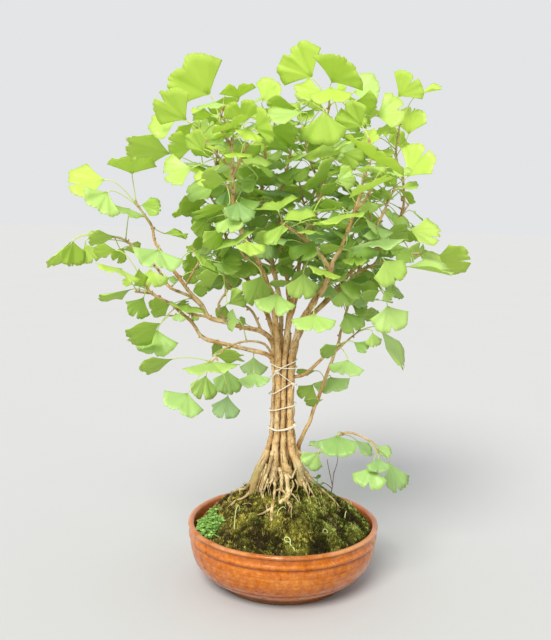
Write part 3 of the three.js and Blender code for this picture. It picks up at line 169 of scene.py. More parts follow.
# ---------- the saplings
# In the order of their numbers. stand: the stem up to the top of the tied trunk,
# [x, y, z, radius]. rise and limbs: the branches above it, drawn as [across, up,
# depth, radius]. roots: [x, y, z, radius], from inside the foot to under the moss.
SAPLINGS = [{
    "stand": [[-47, -19, 108, 3.6], [-43.4, -17, 137, 5.4], [-41.2, -16, 147, 6],
        [-38, -14, 158.5, 6.2], [-32.2, -11.5, 170, 5.9], [-24, -8, 190, 4.4], [-19, -6, 216, 3.6],
        [-19, -6, 318, 3.5]],
    "rise": [[-27, 325, -12, 3.3], [-51, 331, -20, 3], [-84, 338, -30, 2.8], [-116, 347, -38, 2.6],
        [-128, 361, -42, 2.4], [-140, 375, -46, 2.2], [-159, 392, -52, 2], [-188, 407, -56, 1.9],
        [-200, 422, -60, 1.3]],
    "limbs": [
        [[-19, 322, -7, 1.8], [-30, 339, -14, 1.7], [-58, 343, -34, 1.5], [-82, 334, -46, 1.4],
         [-110, 309, -54, 1.3]],
        [[-188, 407, -56, 1.5], [-211, 409, -66, 1.2]],
        [[-140, 375, -46, 1.6], [-165, 377, -70, 1.3]],
    ],
    "roots": [
        [[-43, -17, 140, 3], [-49.9, -20, 129.5, 2.2], [-57.3, -23, 124.4, 1.8],
         [-65.4, -22, 120.7, 1.8], [-70.9, -27, 117.5, 2], [-77.7, -28, 111, 1.6],
         [-84, -30, 100, 1.3]],
    ],
}, {
    "stand": [[-48, 13, 96, 4], [-42, 11, 128, 4.8], [-31, 7, 158, 4.8], [-21, 4, 190, 4.2],
        [-16.5, 3, 216, 3.8], [-16.5, 3, 318, 3.8]],
    "rise": [[-21, 343, 2, 3.8], [-35, 357, -4, 3.7], [-63, 363, -12, 3.4], [-85, 369, -18, 3.2],
        [-109, 376, -22, 3], [-118, 390, -26, 2.8], [-142, 418, -34, 2.5], [-161, 444, -38, 2.2],
        [-180, 474, -42, 1.9], [-190, 502, -40, 1.7], [-211, 532, -36, 1.4]],
    "limbs": [
        [[-118, 390, -26, 2.4], [-133, 403, -18, 2.2], [-164, 417, -8, 2.1], [-180, 441, 0, 1.9],
         [-202, 462, 8, 1.8], [-226, 480, 14, 1.6], [-250, 486, 20, 1.3]],
        [[-109, 376, -22, 1.9], [-136, 381, -34, 1.7], [-152, 388, -44, 1.4]],
        [[-142, 418, -34, 1.6], [-129, 442, -50, 1.4], [-122, 458, -58, 1.3],
         [-133, 467, -64, 1.1]],
        [[-85, 369, -18, 1.7], [-96, 392, -50, 1.5], [-84, 414, -70, 1.3]],
        [[-35, 357, -4, 2], [-50, 386, 18, 1.8], [-64, 397, 26, 1.6], [-84, 425, 40, 1.4],
         [-92, 452, 46, 1.2]],
    ],
    "roots": [],
}, {
    "stand": [[-15, -20, 112, 2.4], [-14.4, -18.5, 139, 2.8], [-14, -17.5, 149, 5.6],
        [-14, -17, 157, 6.4], [-13, -15.2, 170, 6.3], [-12.5, -13, 186, 5], [-11.5, -11, 216, 4.5],
        [-11.5, -11, 318, 4.4]],
    "rise": [[-16, 362, -16, 4], [-22, 405, -24, 3.8], [-38, 446, -34, 3.6], [-51, 472, -42, 3.2],
        [-67, 497, -48, 3], [-75, 520, -52, 2.8], [-78, 557, -56, 2.5], [-79, 580, -58, 2.3],
        [-79, 603, -60, 1.8], [-80, 620, -62, 1.4]],
    "limbs": [
        [[-79, 580, -58, 1.8], [-91, 588, -66, 1.4], [-100, 597, -72, 1.3], [-116, 616, -60, 1.2],
         [-128, 632, -50, 1.1]],
        [[-78, 568, -57, 1.7], [-68, 592, -66, 1.5], [-58, 612, -74, 1.2]],
        [[-77, 545, -55, 1.6], [-87, 558, -78, 1.3]],
        [[-79, 603, -60, 1.5], [-96, 638, -46, 1.3], [-92, 661, -38, 1.1]],
        [[-67, 497, -48, 1.9], [-92, 520, -8, 1.6], [-112, 548, 22, 1.4], [-120, 580, 34, 1.2]],
        [[-38, 446, -34, 1.7], [-62, 462, -72, 1.4], [-72, 478, -94, 1.2]],
        [[-67, 497, -48, 1.6], [-88, 508, -78, 1.2]],
    ],
    "roots": [
        [[-14.6, -19, 152, 3], [-12, -34, 146.3, 2], [-12.5, -41, 139.2, 1.9],
         [-13, -45, 133.5, 1.9], [-14.7, -55, 127.5, 2.1], [-15.5, -64, 122.5, 2.4],
         [-15.8, -73, 117.8, 2.1], [-14.5, -80, 113.5, 1.6], [-13, -88, 104, 1.2]],
    ],
}, {
    "stand": [[4, -22, 112, 2.4], [3, -20, 142, 2.8], [2, -18, 153, 4.6], [0.6, -17, 163, 5.8],
        [-2, -14, 188, 4.4], [-2.8, -12, 216, 3.9], [-2.8, -12, 318, 3.8]],
    "rise": [[3, 374, -12, 3.6], [12, 410, -6, 3.4], [22, 452, 2, 3.2], [27, 470, 6, 3],
        [32, 506, 10, 2.8], [38, 534, 10, 2.5], [44, 556, 10, 2.3], [46, 582, 10, 2],
        [46, 622, 8, 1.6], [49, 672, 4, 1.2]],
    "limbs": [
        [[46, 582, 10, 1.6], [55, 610, 2, 1.3]],
        [[44, 556, 10, 1.7], [26, 590, -8, 1.4], [14, 634, -30, 1.1]],
        [[32, 506, 10, 1.9], [18, 536, 40, 1.5], [10, 570, 62, 1.2]],
        [[46, 622, 8, 1.5], [64, 648, -8, 1.3], [76, 664, -14, 1.1]],
    ],
    "roots": [
        [[-1, -19, 162, 3.2], [4, -31, 160, 3], [5.1, -36, 152.1, 3], [5.9, -42, 144.7, 2.9],
         [6.5, -48, 140.4, 3.1], [3.5, -50, 134.2, 3.6], [-2.4, -52, 131.5, 3.6],
         [-6, -54, 125, 2.4]],
    ],
}, {
    "stand": [[-9.5, -2, 98, 3.8], [-8.5, -2, 170, 4.2], [-8, -1.8, 216, 4.1], [-8, -1.8, 322, 4]],
    "rise": [[-12, 400, 6, 3.6], [-22, 450, 20, 3.2], [-36, 500, 36, 2.8], [-38, 560, 44, 2.3],
        [-34, 610, 46, 1.8], [-30, 650, 40, 1.3]],
    "limbs": [
        [[-22, 450, 20, 1.9], [-45, 470, 52, 1.6], [-66, 500, 78, 1.3]],
        [[-38, 560, 44, 1.7], [-58, 585, 70, 1.4], [-80, 612, 86, 1.1]],
        [[-34, 610, 46, 1.5], [-12, 638, 62, 1.2], [2, 660, 74, 1.1]],
    ],
    "roots": [],
}, {
    "stand": [[2.5, -3, 98, 3.8], [1.5, -2.8, 170, 4.2], [1.2, -2.6, 216, 4],
        [1.2, -2.6, 322, 3.9]],
    "rise": [[2, 380, 16, 3.4], [-2, 430, 34, 3.1], [-12, 480, 52, 2.7], [-14, 530, 66, 2.2],
        [-6, 580, 78, 1.8], [4, 622, 86, 1.3]],
    "limbs": [
        [[-12, 480, 52, 1.8], [12, 506, 84, 1.5], [26, 530, 104, 1.2]],
        [[-14, 530, 66, 1.6], [-40, 548, 92, 1.3], [-60, 560, 108, 1.1]],
        [[-2, 430, 34, 1.8], [14, 452, 62, 1.4], [30, 468, 80, 1.1]],
    ],
    "roots": [],
}, {
    "stand": [[28, -20, 96, 5], [25, -17.5, 138, 6.6], [20, -14.5, 166, 6.2], [11, -11.8, 192, 5],
        [6.8, -10.2, 216, 4.9], [6.8, -10.2, 318, 4.8]],
    "rise": [[14, 358, -18, 4.6], [24, 383, -26, 4.4], [40, 408, -34, 4.2], [52, 428, -40, 4],
        [57, 446, -44, 3.8], [62, 458, -48, 3], [71, 476, -56, 2.7], [79, 500, -62, 2.4],
        [87, 524, -68, 2.1], [94, 550, -72, 1.9], [101, 577, -76, 1.6], [107, 592, -78, 1.3]],
    "limbs": [
        [[57, 446, -44, 3.2], [35, 474, -62, 2.9], [16, 490, -74, 2.3], [-12, 508, -88, 1.6]],
        [[87, 524, -68, 1.6], [106, 548, -94, 1.4], [112, 570, -106, 1.2]],
        [[16, 490, -74, 1.5], [26, 508, -100, 1.2]],
        [[40, 408, -34, 1.8], [39, 400, -66, 1.5], [36, 394, -88, 1.3]],
        [[107, 592, -78, 1.3], [104, 622, -74, 1.1]],
    ],
    "roots": [
        [[23.5, -17, 152, 2.8], [27.9, -26, 149.3, 1.9], [30.2, -29, 143.2, 1.7],
         [33.1, -31, 136.8, 1.6], [36, -39, 131.4, 1.5], [38.9, -44, 126.1, 1.4],
         [41.4, -49, 122.6, 1.3], [44, -56, 113, 1.2]],
    ],
}, {
    "stand": [[37, 5, 96, 3.6], [33, 4, 130, 4.6], [24, 3, 160, 4.8], [15, 2, 188, 4.2],
        [9.8, 1.5, 216, 3.8], [9.8, 1.5, 318, 3.7]],
    "rise": [[18, 361, 2, 3.6], [42, 391, 6, 3.4], [75, 421, 12, 3.1], [93, 437, 16, 2.9],
        [102, 470, 22, 2.6], [112, 492, 26, 2.3], [119, 508, 30, 2.1], [128, 527, 34, 1.8],
        [133, 542, 38, 1.6], [142, 561, 42, 1.3]],
    "limbs": [
        [[8, 294, 1, 2.4], [22, 297, -1, 2.6], [32, 304, -5, 2.4], [47, 319, -11, 2.2],
         [62, 334, -17, 1.8], [76, 343, -21, 1.5]],
        [[14, 190, 2, 1.9], [28, 183, 2, 1.8], [45, 184, -2, 1.7], [62, 200, -10, 1.6],
         [84, 216, -18, 1.5], [101, 214, -28, 1.4], [120, 205, -36, 1.3], [133, 188, -40, 1.2]],
        [[112, 492, 26, 1.8], [110, 516, 10, 1.5], [107, 537, -2, 1.3], [99, 547, -8, 1.1]],
        [[75, 421, 12, 2], [92, 440, -26, 1.8], [112, 452, -50, 1.5], [128, 457, -66, 1.3]],
        [[93, 437, 16, 1.8], [108, 434, -8, 1.5], [127, 422, -28, 1.3]],
        [[102, 470, 22, 1.7], [135, 480, 10, 1.4], [160, 490, 4, 1.2]],
        [[102, 470, 22, 1.5], [108, 484, -26, 1.2]],
    ],
    "roots": [
        [[25.8, 3.2, 154, 2.4], [45, 1, 140.5, 2], [59, -3, 128.5, 1.7], [71, -7, 119.5, 1.4],
         [82, -10, 106, 1.2]],
    ],
}, {
    "stand": [[21, 38, 98, 3.6], [18, 32, 128, 4.4], [13, 23, 156, 4.8], [8, 15, 186, 4.4],
        [5.9, 10.2, 216, 4], [5.9, 10.2, 318, 3.8]],
    "rise": [[26, 372, 20, 3.4], [52, 402, 34, 3.2], [84, 440, 54, 2.8], [120, 476, 74, 2.4],
        [150, 520, 88, 1.9], [152, 568, 84, 1.5], [140, 600, 72, 1.3], [146, 650, 52, 1.1]],
    "limbs": [
        [[120, 476, 74, 1.7], [150, 471, 60, 1.4], [184, 470, 44, 1.2]],
        [[84, 440, 54, 1.8], [98, 414, 80, 1.4], [110, 390, 94, 1.1]],
        [[150, 520, 88, 1.4], [166, 545, 108, 1.1]],
    ],
    "roots": [
        [[13.7, 24.3, 152, 2.2], [28, 43, 136.5, 1.9], [40, 55, 122.5, 1.6], [48, 63, 114.5, 1.3],
         [55, 70, 102, 1.1]],
    ],
}, {
    "stand": [[-3, 38, 98, 3.8], [-3, 31, 128, 4.6], [-3, 22, 156, 4.8], [-3, 13, 186, 4.4],
        [-2.6, 7.6, 216, 4.2], [-2.6, 7.6, 318, 3.9]],
    "rise": [[4, 390, 36, 3.5], [12, 430, 72, 3.1], [18, 480, 112, 2.6], [30, 540, 134, 2.1],
        [44, 600, 130, 1.6], [52, 650, 112, 1.2]],
    "limbs": [
        [[12, 430, 72, 1.8], [44, 458, 108, 1.5], [70, 486, 134, 1.2]],
        [[18, 480, 112, 1.7], [-10, 512, 150, 1.4], [-26, 548, 168, 1.1]],
        [[30, 540, 134, 1.6], [74, 575, 148, 1.3], [98, 606, 146, 1.1]],
    ],
    "roots": [],
}, {
    "stand": [[-31, 37, 98, 3.6], [-27, 31, 128, 4.4], [-20, 23, 156, 4.8], [-14, 15, 186, 4.4],
        [-11.3, 11, 216, 4], [-11.3, 11, 318, 3.8]],
    "rise": [[-30, 385, 34, 3.4], [-56, 430, 66, 3], [-84, 480, 96, 2.5], [-100, 540, 110, 2],
        [-100, 600, 104, 1.5], [-90, 644, 92, 1.2]],
    "limbs": [
        [[-56, 430, 66, 1.8], [-84, 440, 100, 1.4], [-104, 450, 124, 1.1]],
        [[-84, 480, 96, 1.6], [-118, 500, 92, 1.4], [-142, 522, 80, 1.1]],
        [[-100, 540, 110, 1.6], [-72, 570, 138, 1.3], [-52, 602, 148, 1.1]],
    ],
    "roots": [
        [[-21, 24.1, 152, 2.3], [-36, 43, 133.5, 1.9], [-46, 56, 120, 1.6], [-53, 65, 111.5, 1.3],
         [-60, 73, 98, 1.1]],
    ],
}, {
    "stand": [[40, 27, 96, 2.8], [35, 25, 125, 3.3], [27, 22, 152, 3.3], [21, 19, 180, 3.1]],
    "rise": [[21, 200, 18, 3.1], [33, 230, 18, 3], [43, 258, 20, 2.8], [55, 294, 22, 2.5],
        [68, 332, 24, 2.2], [77, 370, 26, 2], [82, 396, 28, 1.5]],
    "limbs": [
        [[68, 332, 24, 1.5], [84, 348, 6, 1.3], [100, 362, -8, 1.1]],
    ],
    "roots": [],
}]

# Leaves drawn one by one: blade root across and up, middle of its outer edge
# across and up, seen width, depth of the root.
DRAWN_LEAVES = [
    # far upper left branch
    [-215, 569, -215, 592, 66, -40], [-251, 561, -300, 552, 42, -44],
    [-248, 545, -265, 520, 60, -50], [-203, 528, -176, 524, 24, -60],
    [-219, 523, -222, 514, 50, 8], [-172, 490, -140, 486, 10, -36],
    [-178, 468, -186, 443, 72, -78],
    # far left branch
    [-238, 484, -274, 478, 22, -10], [-237, 466, -268, 464, 20, -72],
    [-298, 477, -332, 443, 12, 10], [-296, 477, -300, 443, 34, 14],
    [-280, 474, -268, 449, 38, 30], [-262, 482, -275, 487, 12, 24],
    [-226, 470, -238, 450, 24, -8], [-228, 466, -204, 476, 14, 30],
    # lower left branch
    [-232, 441, -236, 431, 66, -86], [-190, 441, -188, 416, 48, -34],
    [-206, 441, -208, 417, 20, -76], [-217, 412, -260, 398, 12, -76],
    [-214, 419, -229, 421, 12, -46], [-199, 402, -212, 374, 38, -76],
    [-163, 392, -190, 384, 30, -26], [-140, 381, -138, 391, 54, -76],
    [-155, 392, -137, 397, 12, -60], [-166, 400, -185, 398, 14, -66],
    [-150, 381, -151, 369, 20, -66], [-130, 379, -128, 370, 13, -14],
    [-176, 366, -222, 346, 32, -88], [-180, 357, -185, 322, 62, -70],
    [-166, 430, -154, 424, 10, -24], [-68, 372, -83, 372, 32, -48], [-57, 367, -68, 374, 12, 14],
    [-86, 393, -93, 374, 24, 4],
    # hanging leaves on the thin arching twig
    [-106, 314, -104, 296, 80, -88], [-158, 316, -204, 301, 20, -62],
    [-137, 268, -152, 240, 62, -64], [-112, 294, -117, 260, 40, -38],
    [-81, 266, -87, 233, 42, -66], [-82, 302, -82, 268, 40, -26], [-104, 322, -95, 343, 16, -28],
    [-100, 322, -60, 322, 18, -74], [-46, 322, -45, 295, 40, 14], [-46, 300, -44, 279, 46, 34],
    # left of the middle
    [-82, 394, -60, 410, 30, -94], [-37, 436, -45, 393, 42, -70], [-66, 458, -66, 431, 52, 24],
    [-95, 452, -66, 447, 30, -64], [-95, 436, -125, 425, 26, -90],
    [-130, 440, -140, 424, 22, -18], [-112, 424, -128, 409, 22, -50],
    [-126, 462, -138, 436, 24, -36], [-118, 447, -112, 455, 44, -92],
    [-73, 476, -77, 484, 62, -122], [-50, 482, -28, 492, 22, -84],
    [-118, 492, -128, 470, 14, -40], [-92, 498, -112, 470, 30, -100],
    [-134, 466, -139, 452, 10, -40], [-113, 508, -128, 490, 28, -66],
    # left crown
    [-110, 675, -150, 712, 88, -50], [-141, 641, -180, 672, 55, -80],
    [-153, 645, -190, 627, 35, -40], [-162, 597, -220, 612, 45, 10],
    [-130, 607, -165, 613, 38, -66], [-120, 612, -110, 642, 45, -24],
    [-118, 600, -132, 628, 30, -94], [-133, 579, -170, 566, 42, -84],
    [-108, 572, -128, 560, 25, -92], [-86, 562, -120, 564, 30, -98],
    [-101, 557, -138, 540, 30, -36], [-122, 543, -146, 517, 30, -2],
    [-140, 532, -160, 515, 10, 10], [-84, 530, -130, 516, 18, -86],
    [-110, 512, -128, 496, 34, -22], [-79, 632, -84, 643, 57, -92], [-50, 632, -28, 641, 52, -86],
    [-72, 672, -75, 689, 50, -18], [-65, 640, -72, 668, 50, -40], [-45, 565, -66, 553, 22, -60],
    [-45, 616, -3, 603, 10, -46], [-30, 634, 5, 622, 40, -62],
    # top
    [-16, 524, -20, 536, 64, -114], [14, 510, 12, 526, 46, -124], [66, 520, 68, 512, 74, -108],
    [52, 509, 52, 503, 40, -112], [26, 700, -8, 732, 68, 0], [51, 694, 72, 724, 78, -20],
    [42, 682, 3, 680, 28, -24], [6, 660, -34, 662, 36, -30], [15, 655, -35, 648, 22, -52],
    [-41, 668, -22, 694, 38, 22], [58, 684, 70, 692, 14, -14], [94, 638, 68, 664, 46, -60],
    [80, 682, 114, 692, 40, 4], [85, 672, 112, 668, 30, -30], [42, 658, 42, 613, 66, -44],
    [69, 603, 93, 590, 40, -30], [48, 567, 35, 577, 60, -28], [62, 566, 85, 574, 36, -44],
    # right crown
    [140, 677, 162, 703, 52, 40], [168, 682, 197, 690, 8, 50], [112, 652, 148, 662, 46, 20],
    [156, 628, 160, 663, 44, 60], [140, 610, 142, 634, 24, 104], [156, 572, 184, 608, 55, 0],
    [108, 594, 118, 611, 94, -114], [112, 590, 130, 585, 30, -52], [92, 617, 115, 628, 22, -44],
    [109, 556, 104, 567, 64, -134], [147, 558, 172, 562, 10, 16], [148, 555, 167, 538, 10, 64],
    [142, 508, 150, 522, 50, 56], [163, 503, 203, 491, 36, -20], [128, 495, 160, 500, 30, -8],
    [105, 540, 106, 524, 30, -40],
    # right side
    [120, 489, 122, 478, 84, -60], [168, 458, 148, 471, 24, -34], [198, 463, 246, 463, 42, 30],
    [212, 453, 180, 468, 18, 20], [160, 452, 222, 443, 12, -44], [168, 458, 180, 484, 18, 66],
    [130, 460, 148, 430, 48, -100], [90, 465, 90, 452, 34, -84], [74, 477, 40, 476, 12, -88],
    [126, 418, 100, 409, 18, -56], [131, 418, 144, 408, 20, -52], [137, 398, 145, 362, 54, -62],
    [75, 419, 77, 395, 36, -32], [88, 398, 108, 386, 18, 0], [92, 385, 126, 380, 20, 50],
    [80, 388, 94, 360, 36, -14], [128, 366, 160, 311, 18, 0], [118, 360, 122, 340, 24, -34],
    [92, 346, 110, 333, 20, -38], [70, 341, 48, 326, 20, -48], [85, 321, 82, 299, 50, -44],
    [42, 304, 14, 303, 10, 46], [62, 296, 66, 273, 52, 52], [38, 285, 23, 263, 32, 44],
    [50, 263, 28, 259, 12, -6],
    # middle
    [36, 384, 36, 358, 62, -122], [20, 440, 20, 405, 46, -74], [50, 445, 47, 436, 48, -88],
    [-16, 412, -20, 383, 58, -62], [4, 428, -26, 424, 10, -34], [20, 468, -14, 458, 12, -34],
    [20, 480, -10, 480, 14, -30], [-33, 484, -32, 459, 28, -70],
    # low branch near the pot
    [74, 213, 76, 181, 56, -46], [60, 193, 34, 197, 10, 16], [48, 187, 33, 164, 36, -36],
    [99, 207, 122, 184, 16, 2], [133, 180, 133, 160, 34, -66], [130, 199, 149, 184, 18, -8],
    [124, 168, 119, 137, 50, -66], [148, 176, 160, 133, 36, -20],
]

# The crown's outline as drawn, which the free leaves keep inside.
CROWN = [
    [-62, 428], [-98, 404], [-130, 418], [-142, 470], [-136, 520], [-166, 560],
    [-172, 612], [-146, 650], [-118, 690], [-60, 692], [-20, 728], [22, 704],
    [60, 722], [84, 700], [112, 700], [160, 696], [152, 640], [186, 598],
    [170, 540], [196, 500], [176, 440], [150, 430], [150, 392], [130, 356],
    [100, 346], [56, 372], [20, 410], [-20, 436],
]


# ---------- keeping the leaves apart
def rod_gaps(p, q, a, b):
    """Distance from each rod p-q to each rod a-b."""
    u, v = q - p, b - a
    w = p[:, None] - a[None]
    uu = (u * u).sum(-1)[:, None]
    vv = (v * v).sum(-1)[None]
    uv = u @ v.T
    uw = (w * u[:, None]).sum(-1)
    vw = (w * v[None]).sum(-1)
    spread = uu * vv - uv * uv
    safe = np.where(spread > 1e-9, spread, 1.0)
    s = np.where(spread > 1e-9, np.clip((uv * vw - vv * uw) / safe, 0, 1), 0)
    t = np.clip((uv * s + vw) / vv, 0, 1)
    s = np.clip((uv * t - uw) / uu, 0, 1)
    apart = w + s[..., None] * u[:, None] - t[..., None] * v[None]
    return np.linalg.norm(apart, axis=-1)


def rods_pierce(p, q, sheets):
    """True if any rod p-q goes through any triangle."""
    run = (q - p)[:, None]
    ab = (sheets[:, 1] - sheets[:, 0])[None]
    ac = (sheets[:, 2] - sheets[:, 0])[None]
    h = np.cross(run, ac)
    det = (ab * h).sum(-1)
    flat = np.abs(det) < 1e-9
    det = np.where(flat, 1.0, det)
    start = p[:, None] - sheets[:, 0][None]
    u = (start * h).sum(-1) / det
    g = np.cross(start, ab)
    v = (run * g).sum(-1) / det
    t = (ac * g).sum(-1) / det
    hit = (u >= 0) & (u <= 1) & (v >= 0) & (u + v <= 1) & (t >= 0) & (t <= 1)
    return bool((hit & ~flat).any())


class Leaf:
    """A fan blade: its frame, its seven outer points, and its petiole once it has one."""

    def __init__(self, base, along, across, width, reach, draw, kept):
        self.base, self.along, self.across, self.width = base, along, across, width
        self.free = False
        self.normal = np.cross(along, across)
        stretch = reach / (BLADE_RATIO * width)
        corner = 0.25 + 0.14 * draw()
        shoulder = 0.5 + 0.06 * draw()
        notch = 0.42 + 0.14 * draw() if draw() < 0.6 else 0.6 + 0.04 * draw()
        lean = 0.06 * (draw() - 0.5)
        outline = [
            (-0.5, corner + lean), (-0.41, shoulder + lean), (-0.2, BLADE_RATIO), (0, notch),
            (0.2, BLADE_RATIO), (0.41, shoulder - lean), (0.5, corner - lean),
        ]
        droop = 0.07 * (draw() - 0.2)
        curl = 0.16 * (draw() - 0.4)
        ripple = 0.05 * (draw() - 0.5)
        signs = (0, 1, -1, 0, 1, -1, 0)
        wide = (1, 0.67, 0.16, 0, 0.16, 0.67, 1)
        waves = [ripple * sign - curl * w - droop for sign, w in zip(signs, wide)]
        self.outer = np.array([
            (s * width, t * width * stretch, h * width) for (s, t), h in zip(outline, waves)
        ])
        edge = self.at(self.outer)[kept]
        fans = np.repeat(base[None], len(edge), axis=0)
        self.rod_from = np.concatenate([fans, edge[:-1]])
        self.rod_to = np.concatenate([edge, edge[1:]])
        self.sheets = np.stack([fans[1:], edge[:-1], edge[1:]], axis=1)
        ends = np.concatenate([self.rod_from, self.rod_to])
        self.centre = ends.mean(axis=0)
        self.reach = np.linalg.norm(ends - self.centre, axis=1).max()
        self.shown = [base, edge[0], edge[len(edge) // 2], edge[-1]]

    def at(self, local):
        """Points (across, along, out of the plane) in the object's own frame."""
        return (self.base + local[:, :1] * self.across + local[:, 1:2] * self.along
                + local[:, 2:] * self.normal)

    def hang(self, spur):
        """Roots the petiole beside the spur, past those that hang there already."""
        room = np.linalg.norm(spur["back"])
        step = min(ROOT_FIRST + ROOT_STEP * spur["leaves"], 0.6 * room)
        self.root = spur["point"] + spur["back"] * (step / room)
        self.plant = spur["plant"]
        return self


class Crowd:
    """The wood and the leaves that a new leaf has to stay clear of."""

    def __init__(self, plants):
        rods = []
        for index, plant in enumerate(plants):
            for path in [stem_path(plant), *map(placed, plant["limbs"])]:
                rods += [(a[:3], b[:3], b[3], index) for a, b in zip(path, path[1:])]
        self.wood_from, self.wood_to, self.wood_radius, self.wood_plant = map(
            np.array, zip(*rods))
        self.leaves = []
        self.clearance = BLADE_CLEARANCE

    def takes(self, leaf):
        """True if the blade clears all wood and leaves, and the petiole all but its plant's."""
        half = BLADE_THICKNESS / 2
        p, q = leaf.rod_from, leaf.rod_to
        room = self.wood_radius[None] + self.clearance
        if (rod_gaps(p, q, self.wood_from, self.wood_to) < room + half).any():
            return False
        if rods_pierce(self.wood_from, self.wood_to, leaf.sheets):
            return False
        stalk_from, stalk_to = leaf.root[None], leaf.base[None]
        others = self.wood_plant != leaf.plant
        gaps = rod_gaps(stalk_from, stalk_to, self.wood_from[others], self.wood_to[others])
        if (gaps < room[:, others] + PETIOLE_RADIUS).any():
            return False
        near = [other for other in self.leaves
                if np.linalg.norm(other.middle - leaf.base) < other.size + leaf.reach * 2 + 100]
        if not near:
            return True
        a = np.concatenate([other.rod_from for other in near])
        b = np.concatenate([other.rod_to for other in near])
        sheets = np.concatenate([other.sheets for other in near])
        stalks_a = np.array([other.root for other in near])
        stalks_b = np.array([other.base for other in near])
        beside = half + PETIOLE_RADIUS + self.clearance
        for *rods, least in ((p, q, a, b, 2 * half + self.clearance),
                             (p, q, stalks_a, stalks_b, beside),
                             (stalk_from, stalk_to, a, b, beside)):
            if (rod_gaps(*rods) < least).any():
                return False
        for crossing in ((p, q, sheets), (stalk_from, stalk_to, sheets),
                         (a, b, leaf.sheets), (stalks_a, stalks_b, leaf.sheets)):
            if rods_pierce(*crossing):
                return False
        strangers = np.array([other.plant != leaf.plant for other in near])
        if not strangers.any():
            return True
        gaps = rod_gaps(stalk_from, stalk_to, stalks_a[strangers], stalks_b[strangers])
        return not (gaps < 2 * PETIOLE_RADIUS + self.clearance).any()

    def add(self, leaf):
        leaf.middle = (leaf.root + leaf.centre) / 2
        leaf.size = np.linalg.norm(leaf.root - leaf.centre) / 2 + leaf.reach
        self.leaves.append(leaf)


# ---------- where leaves go
def placed(rows):
    return [[*sight(u, v, d), r] for u, v, d, r in rows]


def stem_path(plant):
    return [list(map(float, row)) for row in plant["stand"]] + placed(plant["rise"])


def new_spur(point, before, up, plant):
    return {"point": point, "back": before - point, "up": up, "plant": plant, "leaves": 0}


def drawn_steps(plants):
    """Each two neighbouring points of a drawn branch, after their plant's number."""
    for index, plant in enumerate(plants):
        for path in [plant["rise"], *plant["limbs"]]:
            for before, row in zip(path, path[1:]):
                yield index, before, row


def spurs_of(plants):
    """A spur stands at each drawn point of a branch but its first."""
    return [
        new_spur(sight(*row[:3]), sight(*before[:3]), row[1], index)
        for index, before, row in drawn_steps(plants)
    ]


def drawn_blade(row, depth, draw):
    """A blade that looks as drawn: it nods or turns as far as its seen size asks."""
    ub, vb, ut, vt, seen = row[:5]
    base, tip = sight(ub, vb, depth), sight(ut, vt, depth)
    away = unit(base - EYE)
    flat = tip - base
    shown = flat - away * (flat @ away)
    run = np.linalg.norm(shown)
    along = shown / run
    side = np.cross(away, along)
    width = seen * (depth - EYE[1]) / -EYE[1]
    turn = -1 if (vt < vb) == (vb < EYE[2]) else 1
    kept = FEW_POINTS if seen < SEEN_BROAD else EVERY_POINT
    if width * BLADE_RATIO >= run:
        reach = width * BLADE_RATIO
        part = run / reach
        lift = away * (turn * math.sqrt(1 - part * part))
        return Leaf(base, along * part + lift, side, width, reach, draw, kept)
    whole = max(width, min(run / BLADE_RATIO, BLADE_WIDEST))
    part = width / whole
    lift = away * (turn * math.sqrt(1 - part * part))
    return Leaf(base, along, side * part + lift, whole, run, draw, kept)


def best_spur(blade, spurs):
    """The spur that gives the best petiole: neither short nor long, and in line with the blade."""
    def cost(spur):
        gap = blade.base - spur["point"]
        reach = np.linalg.norm(gap)
        short = 60 if reach < PETIOLE_SHORTEST else 0
        far = 2 * (reach - 55) if reach > 55 else 0
        lead = gap @ blade.along / reach
        return abs(reach - 32) + far + short + 8 * (1 - lead) + 1.5 * spur["leaves"]
    return min(spurs, key=cost)


# How far a drawn leaf may slide along its sight line to find room.
SLIDES = [0, -6, 6, -12, 12, -18, 18, -25, 25, -33, 33, -42, 42]


def place_drawn(crowd, spurs):
    for index, row in enumerate(DRAWN_LEAVES):
        seed = SEEDS["drawn leaves"] + index
        spur = best_spur(drawn_blade(row, row[5], stream(seed)), spurs)
        for slide in SLIDES:
            leaf = drawn_blade(row, row[5] + slide, stream(seed)).hang(spur)
            room = np.linalg.norm(spur["point"] - leaf.base) >= PETIOLE_SHORTEST
            if room and crowd.takes(leaf):
                spur["leaves"] += 1
                crowd.add(leaf)
                break


def inside(point, outline):
    u, v = point
    odd = False
    for (ua, va), (ub, vb) in zip(outline, outline[1:] + outline[:1]):
        if (va > v) != (vb > v) and u < ua + (ub - ua) * (v - va) / (vb - va):
            odd = not odd
    return odd


def hides(leaf, drawn, share):
    """True if the leaf stands in front of a drawn one."""
    here = drawing(leaf.centre)
    for other in drawn:
        there = drawing(other.centre)
        apart = math.hypot(here[0] - there[0], here[1] - there[1])
        near = apart < share * (other.width + 0.75 * leaf.width)
        if leaf.centre[1] < other.centre[1] and near:
            return True
    return False


def free_blade(spur, draw, smallest, growth):
    """A leaf that springs from its spur in a direction drawn at random."""
    turn = 2 * math.pi * draw()
    rise = 0.15 + 0.8 * draw()
    reach = 26 + 20 * draw()
    width = smallest + growth * draw()
    nod = 0.1 + 0.9 * draw()
    roll = 0.8 * (draw() - 0.5)
    out = heading(turn)
    base = spur["point"] + out * (reach * math.cos(rise)) + UPWARD * (reach * math.sin(rise))
    along = out * math.cos(nod) - UPWARD * math.sin(nod)
    level = np.array([out[1], -out[0], 0.0])
    across = level * math.cos(roll) + np.cross(along, level) * math.sin(roll)
    return Leaf(base, along, across, width, width * BLADE_RATIO, draw, FEW_POINTS)


